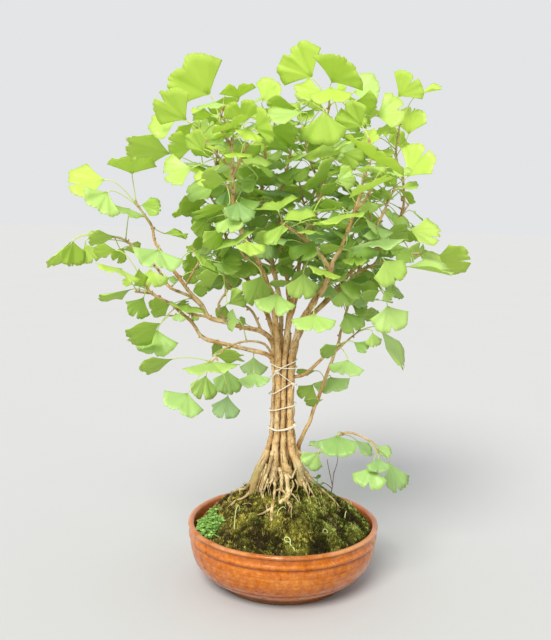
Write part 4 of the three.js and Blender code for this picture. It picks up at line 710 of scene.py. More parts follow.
def place_free(crowd, spurs, drawn, seed, limit, rounds, smallest, growth, share=0.4):
    order = sorted((s for s in spurs if s["up"] > SPUR_LOWEST), key=lambda s: -s["point"][1])
    found = 0
    for turn in range(rounds):
        for k, spur in enumerate(order):
            for attempt in range(6):
                if found >= limit:
                    return
                draw = stream(seed + 997 * turn + 31 * k + 7 * attempt)
                leaf = free_blade(spur, draw, smallest, growth).hang(spur)
                kept = all(inside(drawing(point), CROWN) for point in leaf.shown)
                if kept and not hides(leaf, drawn, share) and crowd.takes(leaf):
                    crowd.add(leaf)
                    spur["leaves"] += 1
                    found += 1
                    break


def spurs_between(plants):
    """More spurs, along the branches between the drawn points."""
    spurs = []
    for index, before, row in drawn_steps(plants):
        start, end = sight(*before[:3]), sight(*row[:3])
        count = int(np.linalg.norm(end - start) / SPUR_SPACING)
        for k in range(1, count):
            point = start + (end - start) * k / count
            up = before[1] + (row[1] - before[1]) * k / count
            spurs.append(new_spur(point, start, up, index))
    return spurs


def all_leaves():
    """The drawn leaves, the free ones of the solids, and more that fill the crown."""
    crowd = Crowd(SAPLINGS)
    spurs = spurs_of(SAPLINGS)
    place_drawn(crowd, spurs)
    drawn = list(crowd.leaves)
    place_free(
        crowd, spurs, drawn, SEEDS["free leaves"], FREE_LEAF_LIMIT,
        rounds=FREE_LEAVES_PER_SPUR, smallest=42, growth=24)
    crowd.clearance = EXTRA_CLEARANCE
    more = spurs + spurs_between(SAPLINGS)
    place_free(
        crowd, more, drawn, SEEDS["extra leaves"], EXTRA_LEAF_LIMIT,
        rounds=3, smallest=34, growth=22, share=0.24)
    for leaf in crowd.leaves[len(drawn):]:
        leaf.free = True
    return crowd.leaves


# ---------- materials
class Signal:
    """A socket of a material, with arithmetic; node() adds any other kind of node."""

    def __init__(self, tree, socket=None):
        self.tree, self.socket = tree, socket

    def node(self, kind, settings=None, sockets=None, output=0):
        made = self.tree.nodes.new(kind)
        for key, value in (settings or {}).items():
            if key != "stops":
                setattr(made, key, value)
                continue
            stops = made.color_ramp.elements
            while len(stops) < len(value):
                stops.new(0.5)
            for stop, (place, colour) in zip(stops, value):
                stop.position = place
                stop.color = (*colour, 1)
        for key, value in (sockets or {}).items():
            socket = made.inputs[key]
            if isinstance(value, Signal):
                self.tree.links.new(value.socket, socket)
            elif socket.type == "RGBA":
                socket.default_value = (*value, 1)
            else:
                socket.default_value = value
        return Signal(self.tree, made.outputs[output])

    def math(self, operation, first, second=0.0):
        return self.node("ShaderNodeMath", {"operation": operation}, {0: first, 1: second})

    def __add__(self, other):
        return self.math("ADD", self, other)

    __radd__ = __add__

    def __sub__(self, other):
        return self.math("SUBTRACT", self, other)

    def __rsub__(self, other):
        return self.math("SUBTRACT", other, self)

    def __mul__(self, other):
        return self.math("MULTIPLY", self, other)

    __rmul__ = __mul__

    def sine(self):
        return self.math("SINE", self)

    def above(self, low, high):
        """0 under low, 1 over high, smooth between."""
        return self.node(
            "ShaderNodeMapRange", {"interpolation_type": "SMOOTHSTEP"},
            {"Value": self, "From Min": low, "From Max": high},
        )

    def mixed(self, one, two):
        """Colour one where this is 0 and colour two where it is 1."""
        return self.node("ShaderNodeMix", {"data_type": "RGBA"}, {0: self, 6: one, 7: two}, 2)

    def ramp(self, *stops):
        return self.node("ShaderNodeValToRGB", {"stops": stops}, {"Fac": self})

    def parts(self, kind="ShaderNodeSeparateXYZ"):
        """The three parts of a vector or a colour."""
        split = self.node(kind, {}, {0: self})
        outs = split.socket.node.outputs
        return [Signal(self.tree, outs[k]) for k in range(3)]

    def place(self):
        return self.node("ShaderNodeTexCoord", output="Object")

    def unwrapped(self, across=1.0, along=1.0):
        """The surface's own coordinates, stretched."""
        uv = self.node("ShaderNodeTexCoord", output="UV")
        return self.node(
            "ShaderNodeVectorMath", {"operation": "MULTIPLY"}, {0: uv, 1: (across, along, 1)},
        )

    def cloud(self, scale, detail=3.0, where=None, rough=0.55):
        return self.node(
            "ShaderNodeTexNoise", {},
            {"Vector": where or self.place(), "Scale": scale, "Detail": detail,
             "Roughness": rough},
        )

    def cells(self, scale, where=None):
        """The distance to the middle of the nearest cell."""
        return self.node(
            "ShaderNodeTexVoronoi", {}, {"Vector": where or self.place(), "Scale": scale})

    def tint(self, name):
        """The red, green and blue of a named colour attribute."""
        colour = self.node("ShaderNodeAttribute", {"attribute_name": name}, output="Color")
        return colour.parts("ShaderNodeSeparateColor")

    def relief(self, height, distance, strength=1.0):
        return self.node(
            "ShaderNodeBump", {},
            {"Height": height, "Distance": distance * MM, "Strength": strength},
        )

    def surface(self, colour, roughness, normal=None, **more):
        sockets = {"Base Color": colour, "Roughness": roughness}
        if normal:
            sockets["Normal"] = normal
        sockets.update({key.replace("_", " "): value for key, value in more.items()})
        return self.node("ShaderNodeBsdfPrincipled", {}, sockets)


def material(name, paint):
    made = bpy.data.materials.new(name)
    made.use_nodes = True
    tree = made.node_tree
    tree.nodes.clear()
    end = tree.nodes.new("ShaderNodeOutputMaterial")
    tree.links.new(paint(Signal(tree)).socket, end.inputs["Surface"])
    return made


# The darkest greens stand partly for painted shade on the crown's inner leaves; the pale
# blue-green is a painted sheen.
DEEP_GREEN = (0.11, 0.25, 0.055)
LEAF_GREEN = (0.38, 0.61, 0.11)
YOUNG_GREEN = (0.72, 0.9, 0.17)
PAINTED_SHEEN_GREEN = (0.56, 0.82, 0.44)
SHADE_UNDER = (0.26, 0.45, 0.09)
YOUNG_UNDER = (0.62, 0.8, 0.15)
LIGHT_THROUGH = (0.82, 0.95, 0.28)


def leaf_paint(under):
    """One side of a blade: tone and hue by leaf, fine veins fanning from its root. Its tone holds
    painted light and painted shade from the leaf's place in the crown, and its upper side a
    painted sheen.
    """
    def paint(s):
        tone, youth, painted_sheen = s.tint("leaf_tint")
        across, along, _ = s.unwrapped().parts()
        veins = (across * 210.0).sine() * 0.5 + 0.5
        forks = (across * 420.0 + 1.0).sine() * 0.5 + 0.5
        ribs = veins + (forks - veins) * along.above(0.35, 0.75)
        blotch = s.cloud(45.0, 3.0)
        wash = tone + (blotch - 0.5) * 0.3 + (ribs - 0.5) * 0.07 + (along - 0.5) * 0.1
        if under:
            colour = (wash * 0.5 + youth * 0.5).mixed(SHADE_UNDER, YOUNG_UNDER)
        else:
            colour = wash.above(0.0, 0.6).mixed(DEEP_GREEN, LEAF_GREEN)
            colour = (wash * 0.6 + youth * 0.6).above(0.3, 1.0).mixed(colour, YOUNG_GREEN)
            # Painted sheen: a pale blue-green cast on the upper side of some leaves.
            colour = (painted_sheen * 0.55).mixed(colour, PAINTED_SHEEN_GREEN)
        root = 1.0 - along.above(0.02, 0.16)
        rim = along.above(0.955, 1.0)
        colour = (root * 0.5 + rim * 0.3).mixed(colour, (0.58, 0.7, 0.16))
        dry = (s.cloud(140.0, 2.0) * along.above(0.93, 1.0)).above(0.52, 0.62)
        colour = (dry * 0.5).mixed(colour, (0.4, 0.26, 0.07))
        bump = s.relief(ribs * 0.7 + s.cloud(300.0, 2.0) * 0.4, 0.2, 0.6)
        skin = s.surface(
            colour, 0.6 if under else 0.5 - 0.1 * tone, bump, Specular_IOR_Level=0.45,
            Coat_Weight=0.1 if under else 0.5, Coat_Roughness=0.34,
        )
        glow = s.node("ShaderNodeBsdfTranslucent", {}, {"Color": LIGHT_THROUGH})
        return s.node("ShaderNodeMixShader", {}, {0: youth * 0.26 + 0.24, 1: skin, 2: glow})
    return paint


def petiole_paint(s):
    # The stalk takes its leaf's tone, with that tone's painted light and shade.
    tone, youth, _ = s.tint("leaf_tint")
    colour = (tone * 0.6 + youth * 0.4).mixed((0.36, 0.5, 0.09), (0.66, 0.74, 0.24))
    return s.surface(colour, 0.5, Specular_IOR_Level=0.4)


def bark_paint(s):
    """Tan bark: cracked and pitted where it is old, plainer on shoots, mossy near the ground, with
    painted shade in the seams where stems lie close together.
    """
    age, shade, green = s.tint("bark_tint")
    streaks = s.cloud(1.0, 6.0, s.unwrapped(6.0, 0.05), 0.66)
    fine = s.cloud(1.0, 4.0, s.unwrapped(32.0, 0.22), 0.62)
    patches = s.cloud(34.0, 4.0)
    crack = 1.0 - streaks.above(0.36, 0.46)
    old = (patches * 0.55 + fine * 0.45).ramp(
        (0.32, (0.3, 0.14, 0.036)), (0.42, (0.57, 0.33, 0.115)),
        (0.51, (0.74, 0.5, 0.23)), (0.64, (0.88, 0.71, 0.43)),
    )
    old = (s.cloud(120.0, 3.0).above(0.54, 0.68) * 0.7).mixed(old, (0.4, 0.2, 0.06))
    old = (crack * 0.85).mixed(old, (0.11, 0.044, 0.01))
    pits = 1.0 - s.cells(190.0).above(0.12, 0.24)
    old = (pits * s.cloud(60.0, 2.0).above(0.4, 0.55) * 0.8).mixed(old, (0.15, 0.06, 0.015))
    young = (patches * 0.5 + fine * 0.5).ramp(
        (0.32, (0.42, 0.29, 0.12)), (0.5, (0.7, 0.5, 0.27)), (0.68, (0.86, 0.69, 0.45)),
    )
    colour = age.above(0.05, 0.5).mixed(young, old)
    film = green * (patches * 0.5 + fine * 0.5).above(0.3, 0.54)
    colour = (film * 0.9).mixed(colour, (0.34, 0.29, 0.105))
    # Painted shade in the seams between stems.
    colour = (shade * 0.88).mixed(colour, (0.065, 0.024, 0.006))
    height = fine * 0.5 + streaks * 1.2 + s.cloud(260.0, 3.0) * 0.5 - pits * 0.3
    return s.surface(colour, 0.74, s.relief(height, 1.1, 1.0), Specular_IOR_Level=0.28)


def root_paint(s):
    """Pale washed roots, browner in their creases."""
    fine = s.cloud(1.0, 4.0, s.unwrapped(14.0, 0.3))
    colour = (fine * 0.6 + s.cloud(70.0, 3.0) * 0.4).ramp(
        (0.35, (0.12, 0.06, 0.018)), (0.43, (0.33, 0.205, 0.08)),
        (0.51, (0.54, 0.4, 0.185)), (0.61, (0.86, 0.7, 0.41)),
    )
    return s.surface(colour, 0.78, s.relief(fine, 0.5, 0.8), Specular_IOR_Level=0.25)


def twine_paint(s):
    fibres = s.cloud(1.0, 3.0, s.unwrapped(9.0, 1.4))
    colour = fibres.mixed((0.74, 0.66, 0.5), (0.96, 0.93, 0.84))
    return s.surface(colour, 0.9, s.relief(fibres, 0.2), Specular_IOR_Level=0.2)


def glaze_paint(s):
    """Orange-brown glaze: speckled, worn on the lip, with painted shade in the grooves and under
    the body just above the foot, soiled at the foot.
    """
    z = s.place().parts()[2]
    flow = s.cloud(1.0, 5.0, s.unwrapped(6.0, 3.0), 0.6)
    bands = s.cloud(1.0, 3.0, s.unwrapped(0.8, 30.0))
    mottle = s.cloud(140.0, 5.0, rough=0.7)
    body = (flow * 0.22 + bands * 0.28 + mottle * 0.5).ramp(
        (0.36, (0.24, 0.04, 0.003)), (0.45, (0.44, 0.104, 0.006)),
        (0.53, (0.54, 0.15, 0.01)), (0.64, (0.68, 0.255, 0.042)),
    )
    specks = 1.0 - s.cells(380.0).above(0.06, 0.34)
    body = (specks * s.cloud(50.0, 2.0).above(0.4, 0.6) * 0.7).mixed(body, (0.15, 0.04, 0.01))
    pale = 1.0 - s.cells(240.0, s.place() + 3.0).above(0.05, 0.22)
    body = (pale * s.cloud(30.0, 3.0).above(0.5, 0.66) * 0.6).mixed(body, (0.8, 0.42, 0.17))
    wear = z.above(80.0 * MM, 87.0 * MM) * s.cloud(28.0, 4.0).above(0.36, 0.62)
    body = (wear * 0.5).mixed(body, (0.76, 0.44, 0.2))
    stain = s.cloud(16.0, 3.0, s.place() + 1.7).above(0.54, 0.7)
    body = (stain * 0.35).mixed(body, (0.26, 0.06, 0.008))
    painted_groove_shade, inner, _ = s.tint("groove_tint")
    # Painted shade in the grooves and under the body just above the foot.
    body = (painted_groove_shade * 0.55).mixed(body, (0.2, 0.045, 0.006))
    body = (inner * 0.7).mixed(body, (0.48, 0.13, 0.045))
    soil_line = 1.0 - (z + (s.cloud(26.0, 4.0) - 0.5) * 0.045).above(-4.0 * MM, 20.0 * MM)
    body = (soil_line * 0.75).mixed(body, (0.15, 0.09, 0.036))
    rough = 0.28 + soil_line * 0.5 + mottle * 0.16
    height = bands * 0.5 + mottle * 0.6 + s.cloud(420.0, 3.0) * 0.3
    gloss = (s.cloud(90.0, 3.0).above(0.34, 0.6) * 0.8 + 0.15) * (1.0 - soil_line * 0.8)
    return s.surface(
        body, rough, s.relief(height, 0.9, 0.7), Coat_Weight=gloss, Coat_Roughness=0.07,
        Specular_IOR_Level=0.15,
    )


def earth_paint(s):
    grit = s.cells(260.0)
    colour = grit.ramp(
        (0.0, (0.02, 0.012, 0.008)), (0.5, (0.06, 0.038, 0.022)), (1.0, (0.12, 0.08, 0.05)))
    return s.surface(colour, 0.95, s.relief(grit, 1.6))


def moss_paint(s):
    """The carpet under the tufts: olive and dark clumps with brown bare patches. It is painted
    lighter on the clumps and humps and darker in the gaps and hollows: painted light and painted
    shade.
    """
    deep, straw, _ = s.tint("tuft_tint")
    fuzz = s.cells(520.0)
    green = (deep + (fuzz - 0.4) * 0.5).ramp(
        (0.0, (0.004, 0.003, 0.001)), (0.45, (0.036, 0.033, 0.005)), (1.0, (0.22, 0.205, 0.03)),
    )
    colour = (straw * 0.5).mixed(green, (0.08, 0.052, 0.02))
    height = fuzz + s.cloud(90.0, 4.0) * 1.6
    return s.surface(colour, 0.95, s.relief(height, 1.8), Specular_IOR_Level=0.1)


def tuft_paint(s):
    """Tufts carry their own colour: dark, olive, yellow-green or straw. Their lightness also holds
    painted shade at their feet and in the moss's gaps and hollows, and painted light at their tips
    and on the clumps.
    """
    light, straw, gold = s.tint("tuft_tint")
    colour = light.ramp(
        (0.0, (0.009, 0.008, 0.001)), (0.25, (0.056, 0.07, 0.01)),
        (0.6, (0.33, 0.41, 0.065)), (1.0, (0.92, 0.96, 0.34)),
    )
    colour = (gold * light).mixed(colour, (0.9, 0.68, 0.12))
    colour = (straw * 0.8).mixed(colour, light.mixed((0.056, 0.034, 0.012), (0.56, 0.42, 0.2)))
    return s.surface(colour, 0.85, Specular_IOR_Level=0.1)


def sprout_paint(s):
    tone, youth, _ = s.tint("leaf_tint")
    colour = (tone * 0.7 + youth * 0.3 + (s.cloud(400.0) - 0.5) * 0.4).mixed(
        (0.07, 0.2, 0.025), (0.48, 0.76, 0.18))
    return s.surface(colour, 0.55, Specular_IOR_Level=0.4)


def shoot_paint(s):
    tone = s.tint("leaf_tint")[1]
    colour = (tone + s.cloud(300.0) * 0.5).mixed((0.66, 0.72, 0.3), (0.5, 0.62, 0.2))
    return s.surface(colour, 0.5, Specular_IOR_Level=0.4)


def dead_twig_paint(s):
    fine = s.cloud(1.0, 4.0, s.unwrapped(6.0, 0.2))
    colour = fine.mixed((0.12, 0.08, 0.05), (0.36, 0.27, 0.18))
    return s.surface(colour, 0.85, s.relief(fine, 0.3))


def screen_paint(s):
    colour = s.cloud(200.0).mixed((0.008, 0.008, 0.009), (0.03, 0.03, 0.032))
    return s.surface(colour, 0.55)


LEAF_TOP = material("leaf_top", leaf_paint(False))
LEAF_UNDER = material("leaf_underside", leaf_paint(True))
PETIOLE = material("petiole", petiole_paint)
BARK = material("ginkgo_bark", bark_paint)
ROOT_SKIN = material("washed_root", root_paint)
TWINE = material("cotton_twine", twine_paint)
GLAZE = material("orange_glaze", glaze_paint)
EARTH = material("potting_soil", earth_paint)
MOSS = material("moss_carpet", moss_paint)
TUFT = material("moss_tufts", tuft_paint)
SPROUT = material("seedling_leaf", sprout_paint)
SHOOT = material("pale_shoot", shoot_paint)
DEAD_TWIG = material("dry_twig", dead_twig_paint)
SCREEN = material("drain_mesh", screen_paint)


# ---------- mesh making
class Shape:
    """Points, faces, surface coordinates and tints gathered for one piece."""

    def __init__(self):
        self.points, self.faces, self.kinds = [], [], []
        self.uv, self.tint = [], []
        self.count = 0

    def add(self, points, faces, uv=None, tint=PLAIN, kind=0):
        """uv and tint go by point; one tint may stand for all of them."""
        points = np.asarray(points, float)
        self.points.append(points)
        self.uv.append(np.zeros((len(points), 2)) if uv is None else np.asarray(uv, float))
        self.tint.append(np.broadcast_to(np.asarray(tint, float), (len(points), 3)))
        self.last, self.count = self.count, self.count + len(points)
        self.cover(faces, kind)

    def cover(self, faces, kind=0):
        """Faces over the points added last."""
        self.faces.append(np.asarray(faces, int) + self.last)
        self.kinds.append(np.full(len(faces), kind))

    def piece(self, name, materials, slot, nodes=(), tint_name=None, flat=False):
        mesh = bpy.data.meshes.new(name)
        points = np.concatenate(self.points) * MM
        loops = np.concatenate([faces.ravel() for faces in self.faces])
        sizes = np.concatenate([np.full(len(faces), faces.shape[1]) for faces in self.faces])
        starts = np.concatenate([[0], np.cumsum(sizes)[:-1]])
        mesh.vertices.add(len(points))
        mesh.vertices.foreach_set("co", points.ravel())
        mesh.loops.add(len(loops))
        mesh.loops.foreach_set("vertex_index", loops)
        mesh.polygons.add(len(sizes))
        mesh.polygons.foreach_set("loop_start", starts)
        mesh.polygons.foreach_set("material_index", np.concatenate(self.kinds))
        mesh.polygons.foreach_set("use_smooth", np.full(len(sizes), not flat))
        layer = mesh.uv_layers.new(name="UVMap")
        layer.data.foreach_set("uv", np.concatenate(self.uv)[loops].ravel())
        if tint_name:
            colours = mesh.color_attributes.new(tint_name, "FLOAT_COLOR", "POINT")
            tints = np.concatenate(self.tint)
            colours.data.foreach_set("color", np.c_[tints, np.ones(len(tints))].ravel())
        mesh.update(calc_edges=True)
        mesh.validate()
        made = show(name, mesh)
        for look in materials:
            mesh.materials.append(look)
        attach(made, ROOT)
        if nodes:
            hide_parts(*nodes)
        return made


def smooth_path(rows, step):
    """A curve through rows [x, y, z, radius], sampled about every step."""
    rows = np.asarray(rows, float)
    if len(rows) == 2:
        rows = np.array([rows[0], (rows[0] + rows[1]) / 2, rows[1]])
    ends = np.vstack([2 * rows[0] - rows[1], rows, 2 * rows[-1] - rows[-2]])
    ends[[0, -1], 3] = rows[[0, -1], 3]
    out = []
    for a, b, c, d in zip(ends, ends[1:], ends[2:], ends[3:]):
        ab, bc, cd = (max(np.linalg.norm(q[:3] - p[:3]), 1e-6) ** 0.5
                      for p, q in ((a, b), (b, c), (c, d)))
        go = (b - a) / ab - (c - a) / (ab + bc) + (c - b) / bc
        stop = (c - b) / bc - (d - b) / (bc + cd) + (d - c) / cd
        go, stop = go * bc, stop * bc
        count = max(2, int(round(np.linalg.norm(c[:3] - b[:3]) / step)))
        for t in np.arange(count) / count:
            w = cubic(t)
            out.append(w[0] * b + w[1] * go + w[2] * c + w[3] * stop)
    out.append(rows[-1])
    path = np.array(out)
    path[:, 3] = np.maximum(path[:, 3], 0.3 * rows[:, 3].min())
    return path


def frames_along(points):
    """Two side directions for each point of a path, turning as little as they can."""
    runs = np.gradient(points, axis=0)
    runs /= np.linalg.norm(runs, axis=1)[:, None]
    side = np.array([1.0, 0, 0]) if abs(runs[0][2]) > 0.9 else np.array([0, 0, 1.0])
    sides = []
    for run in runs:
        side = unit(side - run * (side @ run))
        sides.append(side)
    sides = np.array(sides)
    return sides, np.cross(runs, sides)


def spokes(one, two, turn):
    """The ways out from each point of a path, at each angle between its two sides."""
    return one[:, None] * np.cos(turn)[:, None] + two[:, None] * np.sin(turn)[:, None]


def tube_faces(rings, sides):
    start = np.arange(rings - 1)[:, None] * sides
    a = start + np.arange(sides)
    b = start + (np.arange(sides) + 1) % sides
    return np.stack([a, b, b + sides, a + sides], axis=-1).reshape(-1, 4)


def end_fans(rings, sides):
    """Closes a tube at both ends, round two middle points that follow its rings."""
    k = np.arange(sides)
    beside = (k + 1) % sides
    hub = rings * sides
    far = hub - sides
    return np.concatenate([
        np.c_[np.full(sides, hub), beside, k],
        np.c_[np.full(sides, hub + 1), far + k, far + beside],
    ])


def add_tube(shape, path, sides, tint=PLAIN, kind=0, rough=0.0):
    """A closed tube with a drawn-in tip; rough makes its radius uneven."""
    path = np.asarray(path, float)
    last = path[-1].copy()
    last[:3] += unit(path[-1, :3] - path[-2, :3]) * last[3] * 0.9
    last[3] *= TIP_SHARE
    path = np.vstack([path, last])
    points = path[:, :3]
    one, two = frames_along(points)
    turn = turns_of(sides)
    out = spokes(one, two, turn)
    radius = np.repeat(path[:, 3:4], sides, axis=1)
    if rough:
        radius = radius * (1 + rough * unevenness(points[:, None] + out * radius[..., None]))
    rings = points[:, None] + out * radius[..., None]
    count = len(path)
    run = run_along(points)
    uv = pairs(np.abs(turn / np.pi - 1)[None, :], run[:, None]).reshape(-1, 2)
    caps = np.array([points[0], points[-1]])
    verts = np.concatenate([rings.reshape(-1, 3), caps])
    uv = np.concatenate([uv, [[0, 0], [0, run[-1]]]])
    tint = np.asarray(tint, float)
    if tint.ndim == 2:
        tint = np.vstack([tint, tint[-1:]])
        tint = np.concatenate([np.repeat(tint, sides, axis=0), tint[[0, -1]]])
    shape.add(verts, tube_faces(count, sides), uv, tint, kind)
    shape.cover(end_fans(count, sides), kind)


def unevenness(points):
    """Two sizes of smooth noise at each point."""
    values = [
        waver(*p) + 0.6 * waver(*(p * 3.1)) for p in points.reshape(-1, 3) * LUMP_SCALE]
    return np.array(values).reshape(points.shape[:-1])


# ---------- leaves
FINE_FAN = 60
PLAIN_FAN = 28
FAN_RINGS = [0.04, 0.24, 0.54, 0.81, 1.0]
BLADE_HALF = 0.19


def fan_edge(leaf, steps, draw):
    """The blade's outer edge: rounded lobes, a notch, scallops and nicks."""
    outer = leaf.outer
    crown = outer[[2, 4]].mean(axis=0) * [1, 1.03, 1]
    rows = np.array([outer[0], outer[1], outer[2], crown, outer[4], outer[5], outer[6]])
    knots = np.array([-1, -0.74, -0.34, 0, 0.34, 0.74, 1.0])
    u = np.linspace(-1, 1, steps + 1)
    u = np.sign(u) * np.abs(u) ** 1.12
    edge = np.stack([curve_through(knots, rows[:, k], u) for k in range(3)], axis=1)
    cut = 1 - outer[3][1] / crown[1]
    gap = 0.09 + 0.05 * draw()
    depth = cut * np.clip(1 - np.abs(u) / gap, 0, 1) ** 0.9
    phase, count = 6 * draw(), 19 + 9 * draw()
    scallops = np.abs(np.sin(u * count + phase + 1.3 * np.sin(5 * u))) - 0.6
    waves = 0.030 * scallops * (0.7 + 0.3 * np.sin(4 * u + phase))
    waves += 0.016 * np.sin(u * (5 + 3 * draw()) + 6 * draw())
    for _ in range(3):
        place = 1.7 * draw() - 0.85
        waves -= (0.02 + 0.07 * draw()) * np.clip(1 - np.abs(u - place) / 0.06, 0, 1)
    reach = 1 - depth + waves * (1 - np.abs(u) ** 8)
    return u, edge * reach[:, None]


def curve_through(knots, values, where):
    """A cubic curve through the values, flat-ended."""
    slopes = np.gradient(values, knots)
    k = np.clip(np.searchsorted(knots, where, side="right") - 1, 0, len(knots) - 2)
    run = knots[k + 1] - knots[k]
    w = cubic((where - knots[k]) / run)
    return (w[0] * values[k] + w[1] * run * slopes[k]
            + w[2] * values[k + 1] + w[3] * run * slopes[k + 1])


def sheet_faces(across, rings):
    i, j = np.meshgrid(np.arange(across - 1), np.arange(rings - 1), indexing="ij")
    a = i * rings + j
    return np.stack([a, a + 1, a + rings + 1, a + rings], axis=-1).reshape(-1, 4)


def rim_of(across, rings):
    """The points round a sheet's border, in order."""
    low = [i * rings for i in range(across)]
    right = [(across - 1) * rings + j for j in range(1, rings)]
    top = [i * rings + rings - 1 for i in range(across - 2, -1, -1)]
    left = list(range(rings - 2, 0, -1))
    return np.array(low + right + top + left)


FANS = {
    steps: (sheet_faces(steps + 1, len(FAN_RINGS)), rim_of(steps + 1, len(FAN_RINGS)))
    for steps in (FINE_FAN, PLAIN_FAN)
}


def add_blade(shape, leaf, tint, draw):
    """A thin closed fan: upper face, underside and rim."""
    steps = PLAIN_FAN if leaf.free else FINE_FAN
    fan, border = FANS[steps]
    u, edge = fan_edge(leaf, steps, draw)
    v = np.array(FAN_RINGS)
    width = leaf.width
    grid = edge[:, None, :] * v[None, :, None]
    pinch = 1 + 0.35 * np.abs(u[:, None]) ** 3
    grid[..., 0] = edge[:, None, 0] * v[None] ** pinch
    grid[..., 2] = edge[:, None, 2] * v[None] ** 1.5
    swell = v[None] ** 2 * np.sin(u[:, None] * (6 + 4 * draw()) + 6 * draw())
    ruffle = v[None] ** 5 * np.sin(u[:, None] * (15 + 6 * draw()) + 6 * draw())
    grid[..., 2] += width * ((0.014 + 0.018 * draw()) * swell + 0.012 * ruffle)
    middle = leaf.at(grid.reshape(-1, 3))
    side = 1.0 if leaf.normal[2] >= 0 else -1.0
    lift = leaf.normal * (BLADE_HALF * side)
    points = np.concatenate([middle + lift, middle - lift])
    count = len(middle)
    uv = pairs((u[:, None] + 1) / 2, v[None]).reshape(-1, 2)
    uv = np.concatenate([uv, uv])
    if side > 0:
        top, low = fan, fan[:, ::-1] + count
    else:
        top, low = fan[:, ::-1], fan + count
    here, there = border, np.roll(border, -1)
    rim = np.c_[here, there, there + count, here + count]
    if side < 0:
        rim = rim[:, ::-1]
    shape.add(points, top, uv, tint)
    shape.cover(low, 1)
    shape.cover(rim)


def add_petiole(shape, leaf, tint):
    """The stalk, rising from its spur and curving into the blade."""
    gap = leaf.base - leaf.root
    reach = np.linalg.norm(gap)
    start = gap + np.array([0, 0, 0.30 * reach])
    stop = unit(leaf.along) * reach * 0.8
    t = np.linspace(0, 1, 7)[:, None]
    w = cubic(t)
    line = w[0] * leaf.root + w[1] * start + w[2] * (leaf.base + leaf.along) + w[3] * stop
    thick = 0.62 + 0.35 * (1 - t) ** 4 + 0.12 * t ** 6
    add_tube(shape, np.hstack([line, thick]), 6, tint, 2)


def leaf_tint(leaf, draw):
    """Tone, how yellow the green is, and painted sheen. The leaves outside and on top are
    brightest, partly as young growth and partly as painted light, and those inside the crown are
    darker as painted shade.
    """
    x, y, z = leaf.centre
    out = min(1.1, math.sqrt((x / 240) ** 2 + (y / 170) ** 2 + ((z - 520) / 210) ** 2))
    tone = 0.13 + 0.58 * out + 0.20 * (z - 480) / 220 + 0.46 * (draw() - 0.5)
    youth = 0.13 + 0.48 * out + 0.45 * (z - 480) / 200 + 0.4 * (draw() - 0.5)
    # Painted sheen, strong on a few leaves at random and on the low ones.
    painted_sheen = draw() ** 4 * 1.3 + min(0.4, max(0.0, (430 - z) / 300))
    # The free leaves, kept from standing in front of the drawn ones, are darker: painted shade.
    if leaf.free:
        tone -= 0.12
    return [clamp(value) for value in (tone, youth, painted_sheen)]


# ---------- wood
def moss_top(r):
    """The height of the mound at a distance from the pot's axis."""
    mound = MOUND_HEIGHT / (1 + (r / MOUND_SPREAD) ** MOUND_POWER)
    past = max(0.0, r - EDGE_START) / (MOSS_RADIUS - EDGE_START)
    return MOSS_LEVEL + mound - EDGE_DROP * past * past


def cushions(x, y):
    """Broad, low swellings of the moss."""
    r = math.hypot(x, y)
    fade = clamp(min((112 - r) / 16, r / 10))
    small = 1.5 * math.sin(0.11 * x + 1) * math.cos(0.13 * y)
    broad = 1.2 * math.sin(0.07 * y - 0.05 * x)
    return fade * (small + broad)


def smooth_moss(x, y):
    """The top of the moss without its clumps, as the solid has it."""
    return moss_top(math.hypot(x, y)) + cushions(x, y)


def bark_tints(path, mossy=0.3):
    """How old the bark is at each ring, from its thickness, and how mossy near the ground."""
    age = np.clip((path[:, 3] - 0.9) / 1.4, 0, 1)
    green = np.clip((MOSSY_BELOW - path[:, 2]) / 30, 0, mossy)
    return np.c_[age, np.zeros(len(path)), green]


def add_wood(shape, rows, sides, rough, step=4.0, kind=0):
    path = smooth_path(rows, step)
    add_tube(shape, path, sides, bark_tints(path), kind, rough)
    return path


def root_run(foot, turn, reach, thick, draw):
    """A surface root: out of the stem's foot, over the moss, and down into it."""
    rows = []
    x, y, z, _ = foot
    count = 6
    sway = 0.5 * (draw() - 0.5)
    for k in range(count):
        t = k / (count - 1)
        way = turn + sway * t + 0.22 * math.sin(5 * t + 6 * draw())
        px = x + math.cos(way) * reach * t
        py = y + math.sin(way) * reach * t
        level = smooth_moss(px, py)
        rise = (1 - t) ** 2 * max(z - level, 0)
        lump = 1.6 * draw()
        up = level + rise + lump * (1 - t) - ROOT_DEPTH * t ** 3
        rows.append([px, py, up, thick * (1 - 0.6 * t)])
    return rows


def knobbly(path, seed, sway, swell):
    """The path with small bends and swellings, as old wood has."""
    out = path.copy()
    for k, row in enumerate(path):
        out[k, 0] += sway * waver(row[2] * 0.055, seed, 1.0)
        out[k, 1] += sway * waver(row[2] * 0.055, seed, 5.0)
        out[k, 3] *= 1 + swell * waver(row[2] * 0.09, seed, 9.0)
    return out


# How mossy the feet of some stems are, a burl where two of them meet, and the wood
# that fills the gap behind them.
MOSSY = {0: 1.0, 3: 0.6, 6: 0.8}
BURL = [[-1, -17, 175, 3.6], [3, -19.5, 169, 6.4], [7, -20, 163, 5.2], [10, -19, 158, 3]]
FILLER = [[7.5, 200, 2, 2.8], [7.2, 180, 4, 3], [8, 160, 8, 3], [9, 140, 12, 2.4]]

BUNDLED = [
    np.array([row for row in stem_path(plant) if row[2] <= BUNDLE_TOP]) for plant in SAPLINGS
]


